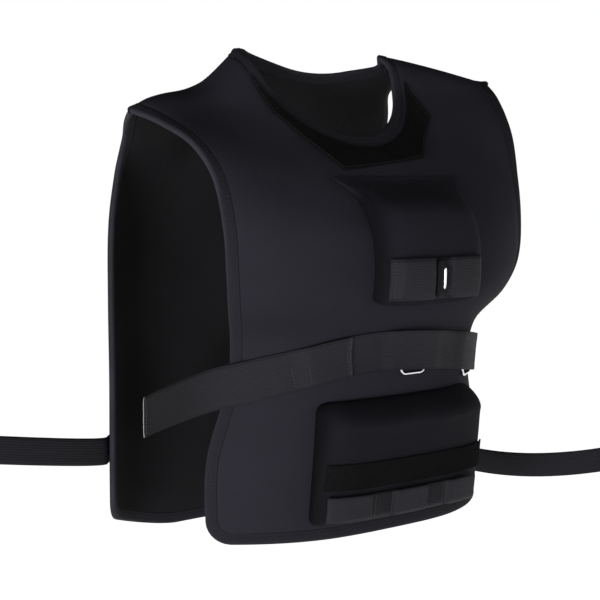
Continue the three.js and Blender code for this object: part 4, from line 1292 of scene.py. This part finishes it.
class VEST_OT_belt(bpy.types.Operator):
    """Lay the waist belt, its free end, and the stitching that holds it"""

    bl_idname = "vest.belt"
    bl_label = "Belt"

    def execute(self, context):
        across = np.linspace(LOWER_FROM, LOWER_TO, 150)
        sections, inner, out = belt_on(across, 0.0)
        middle, up, facing = middle_of(inner, out, BELT_THICK)
        edge_lift = float(ring_room(across[0] * waist_half(1)))
        radius = WALL / 2 + 2 * TAPE_STEP + REST + GAP + BELT_THICK / 2 + edge_lift
        away = unit(np.cross(up[0], facing[0]))
        hub = middle[0] - facing[0] * radius
        turn = np.linspace(1, 0.04, 20)[:, None] * math.pi
        outs = facing[0] * np.cos(turn) + away * np.sin(turn)
        bend = hub + outs * radius
        tuck = np.linspace(1, 0.05, 10)[:, None]
        inside = bend[0] - (away * BELT_TUCK + facing[0] * TUCK_LEAN) * tuck
        line = np.concatenate([inside, bend])
        outs = np.concatenate([np.tile(outs[0], (10, 1)), outs])
        ups = np.tile(up[0], (len(line), 1))
        turned = webbing_sections(line, ups, outs, WIDE, BELT_THICK)
        add_tube("belt_lower_webbing", np.concatenate([turned, sections]), [material("webbing")],
                 ("belt_lower",))
        across = np.linspace(UPPER_FROM, -STRAP_REACH, 70)
        over = smooth(across, LOWER_TO - 0.12, LOWER_TO - 0.01) * (BELT_THICK + REST)
        sections, inner, out = belt_on(across, over)
        middle, up, facing = middle_of(inner, out, BELT_THICK)
        points, ups, outs = free_end(middle[-1], up[-1], facing[-1], middle[-8], BELT_TAIL)
        free = webbing_sections(points, ups, outs, WIDE, BELT_THICK)
        whole = np.concatenate([sections, free])
        line = np.concatenate([middle, points])
        run = np.concatenate([[0], np.cumsum(np.linalg.norm(np.diff(line, axis=0), axis=1))])
        # Painted shade: the free tail darkens past a length along the strap
        painted_tail_shade = TAIL_SHADE * smooth(run, TAIL_SHADE_FROM, TAIL_SHADE_TO)
        # Painted highlight at the cut ends: bright over the last stretch of the tail, faint at the strap's
        # start
        wear = np.where(run[-1] - run < CUT_EDGE, 1.0, 0.04 * (run < 0.002) - painted_tail_shade)
        wear = np.repeat(wear[:, None], whole.shape[1], axis=1)
        add_tube("belt_upper_webbing", whole, [material("webbing")], ("belt_upper",),
                 attribute=wear)
        for k, (column, low, high) in enumerate(((3, 1, 10), (29, 1, 7), (38, 1, 7))):
            rows = slice(low, high)
            facing = out[column][rows]
            line = inner[column][rows] + facing * (BELT_THICK + STITCH_RISE)
            add_stitches(f"belt_upper_stitches_{k}", line, facing, TACK_PITCH, thread="tack")
        at = int(np.argmin(np.abs(run[-1] - run[len(middle):] - TAIL_STITCH)))
        rise = np.linspace(-0.45, 0.45, 9)[:, None] * WIDE
        line = points[at] + ups[at] * rise + outs[at] * BELT_THICK / 2
        add_stitches("belt_end_stitches", line, np.tile(outs[at], (9, 1)), TACK_PITCH,
                     thread="tack")
        return {"FINISHED"}


class VEST_OT_rings(bpy.types.Operator):
    """Bend the two steel rings under the belt"""

    bl_idname = "vest.rings"
    bl_label = "Rings"

    def execute(self, context):
        for name, x in (("front_ring", RING_FRONT_X), ("side_ring", RING_EDGE_X)):
            share = x / waist_half(1)
            drop = along(BELT_RUN, 1, share) * BELT_DROP + WIDE / 2 + RING_PEEK - RING_LENGTH / 2
            w = RING_WIDTH / 2 - RING_CORNER
            h = RING_LENGTH / 2 - RING_CORNER
            corner = np.repeat(np.arange(4), 14)
            turn = (corner + np.tile(np.linspace(0, 1, 14), 4)) * math.pi / 2
            side_x = np.array([1, -1, -1, 1])[corner]
            side_z = np.array([1, 1, -1, -1])[corner]
            ring_x = x + side_x * w + RING_CORNER * np.cos(turn)
            ring_z = -drop + side_z * h + RING_CORNER * np.sin(turn)
            path, out = stand(FRONT, ring_x, ring_z, REST + RING_WIRE / 2)
            ahead = unit(np.roll(path, -1, 0) - np.roll(path, 1, 0))
            side = unit(np.cross(ahead, out))
            round_turn = np.linspace(0, 2 * math.pi, 16, endpoint=False)
            wide, high = np.cos(round_turn)[None, :, None], np.sin(round_turn)[None, :, None]
            sections = path[:, None] + RING_WIRE / 2 * (side[:, None] * wide + out[:, None] * high)
            add_tube(name + "_wire", sections, [material("steel")], (name,), ring=True)
        return {"FINISHED"}


class VEST_OT_back_strap(bpy.types.Operator):
    """Lay the strap across the back, with a free tail past each edge"""

    bl_idname = "vest.back_strap"
    bl_label = "Back strap"

    def execute(self, context):
        at = share_at(BACK, 0.0, -BACK_STRAP_DROP)
        half = float(half_width(BACK, np.array(1.0), at))
        across = np.linspace(-STRAP_REACH, STRAP_REACH, 180)
        lift = np.full_like(across, REST + TAPE_STEP)
        sections, inner, out = strap_on(BACK, BACK_RUN, BACK_STRAP_DROP, half, across, lift, NARROW,
                                        WEBBING_THICK)
        middle, up, facing = middle_of(inner, out, WEBBING_THICK)
        pieces = []
        for end, before, tail in ((0, 8, RIGHT_TAIL), (-1, -9, LEFT_TAIL)):
            points, ups, outs = free_end(middle[end], up[end], facing[end], middle[before], tail, 70)
            pieces.append(webbing_sections(points, ups, outs, NARROW, WEBBING_THICK))
        whole = np.concatenate([pieces[0][::-1], sections, pieces[1]])
        add_tube("back_strap_webbing", whole, [material("strap")], ("back_strap",))
        for k, column in enumerate((10, 14, 165, 169)):
            line = inner[column] + out[column] * (WEBBING_THICK + STITCH_RISE)
            add_stitches(f"back_strap_stitches_{k}", line[1:-1], out[column][1:-1], TACK_PITCH)
        return {"FINISHED"}


class VEST_OT_stage(bpy.types.Operator):
    """Set the pale floor, the soft lights and the camera"""

    bl_idname = "vest.stage"
    bl_label = "Stage"

    def execute(self, context):
        scene = context.scene
        forward = Vector((-math.sin(CAMERA_AZIMUTH) * math.cos(CAMERA_PITCH),
                          math.cos(CAMERA_AZIMUTH) * math.cos(CAMERA_PITCH), -math.sin(CAMERA_PITCH)))
        right = Vector((math.cos(CAMERA_AZIMUTH), math.sin(CAMERA_AZIMUTH), 0))
        up = right.cross(forward)
        lens = bpy.data.cameras.new("Camera")
        lens.lens = LENS
        lens.sensor_width = SENSOR
        lens.clip_start = 0.05
        lens.clip_end = 60
        camera = bpy.data.objects.new("Camera", lens)
        scene.collection.objects.link(camera)
        eye = -CAMERA_DISTANCE * (forward + CAMERA_RIGHT * right + CAMERA_UP * up)
        turn = Matrix((right, up, -forward)).transposed().to_4x4()
        camera.matrix_world = Matrix.Translation(eye) @ turn
        scene.camera = camera

        centre = Vector((0, 0, -VEST_MIDDLE))
        for name, (ahead, across, above), size, power in LIGHTS:
            data = bpy.data.lights.new(name, "AREA")
            data.shape = "DISK"
            data.size = size
            data.energy = power
            lamp = bpy.data.objects.new(name, data)
            scene.collection.objects.link(lamp)
            spot = centre - forward * ahead + right * across + up * above
            turn = (centre - spot).to_track_quat("-Z", "Y").to_matrix().to_4x4()
            lamp.matrix_world = Matrix.Translation(spot) @ turn

        world = bpy.data.worlds.new("Studio")
        sky = Shader(world, "Background")
        rise = sky.add("ShaderNodeSeparateXYZ", {}, {
            "Vector": sky.add("ShaderNodeTexCoord")["Generated"]})["Z"]
        tone = sky.add("ShaderNodeValToRGB", {"stops": SKY_STOPS}, {"Fac": rise * rise})["Color"]
        sky.put(sky.surface.inputs["Color"], tone)
        sky.put(sky.surface.inputs["Strength"], 1.0)
        scene.world = world
        scene.view_settings.view_transform = "Standard"

        turn = np.linspace(0, 2 * math.pi, 96, endpoint=False)
        rings = np.concatenate([[0.0], np.geomspace(FLOOR_INNER, FLOOR_RADIUS, 14)])
        points = np.stack([rings[:, None] * np.cos(turn), rings[:, None] * np.sin(turn),
                           np.full((len(rings), len(turn)), FLOOR_DROP)], -1).reshape(-1, 3)
        faces = quads(len(rings), len(turn), ring_cols=True)[:, ::-1]
        data = bpy.data.meshes.new("floor")
        data.from_pydata(points.tolist(), [], faces.tolist())
        floor = bpy.data.objects.new("floor", data)
        scene.collection.objects.link(floor)
        shader = new_shader("Pale floor")
        dust = shader.noise(place(shader), 3, 2)
        tone = shader.blend(dust, (0.86, 0.86, 0.86, 1), (0.9, 0.9, 0.9, 1))
        glow = {"Emission_Color": (1, 1, 1, 1), "Emission_Strength": FLOOR_GLOW}
        data.materials.append(shader.finish(tone, 0.9, Specular_IOR_Level=0.0, **glow))
        floor.visible_diffuse = False
        return {"FINISHED"}


OPERATORS = (
    VEST_OT_panels, VEST_OT_edges, VEST_OT_neck_patch, VEST_OT_chest_pad, VEST_OT_chest_webbing,
    VEST_OT_pouch, VEST_OT_belt, VEST_OT_rings, VEST_OT_back_strap, VEST_OT_stage,
)


class VEST_PT_sidebar(bpy.types.Panel):
    """The vest's colours, sizes and pieces"""

    bl_idname = "VEST_PT_sidebar"
    bl_label = "Weighted Vest"
    bl_space_type = "VIEW_3D"
    bl_region_type = "UI"
    bl_category = "Vest"

    def draw(self, context):
        for key in VestLooks.__annotations__:
            self.layout.prop(context.scene.vest_looks, key)
        for operator in OPERATORS:
            self.layout.operator(operator.bl_idname)


CLASSES = (VestLooks, *OPERATORS, VEST_PT_sidebar)


def register():
    """Registers the classes and puts the looks on the scene."""
    for cls in CLASSES:
        bpy.utils.register_class(cls)
    bpy.types.Scene.vest_looks = PointerProperty(type=VestLooks)


def unregister():
    """Takes the looks and the classes away again."""
    del bpy.types.Scene.vest_looks
    for cls in reversed(CLASSES):
        bpy.utils.unregister_class(cls)


def main():
    """Makes every piece in order."""
    register()
    bpy.ops.vest.panels()
    bpy.ops.vest.edges()
    bpy.ops.vest.neck_patch()
    bpy.ops.vest.chest_pad()
    bpy.ops.vest.chest_webbing()
    bpy.ops.vest.pouch()
    bpy.ops.vest.belt()
    bpy.ops.vest.rings()
    bpy.ops.vest.back_strap()
    bpy.ops.vest.stage()


if __name__ == "__main__":
    main()
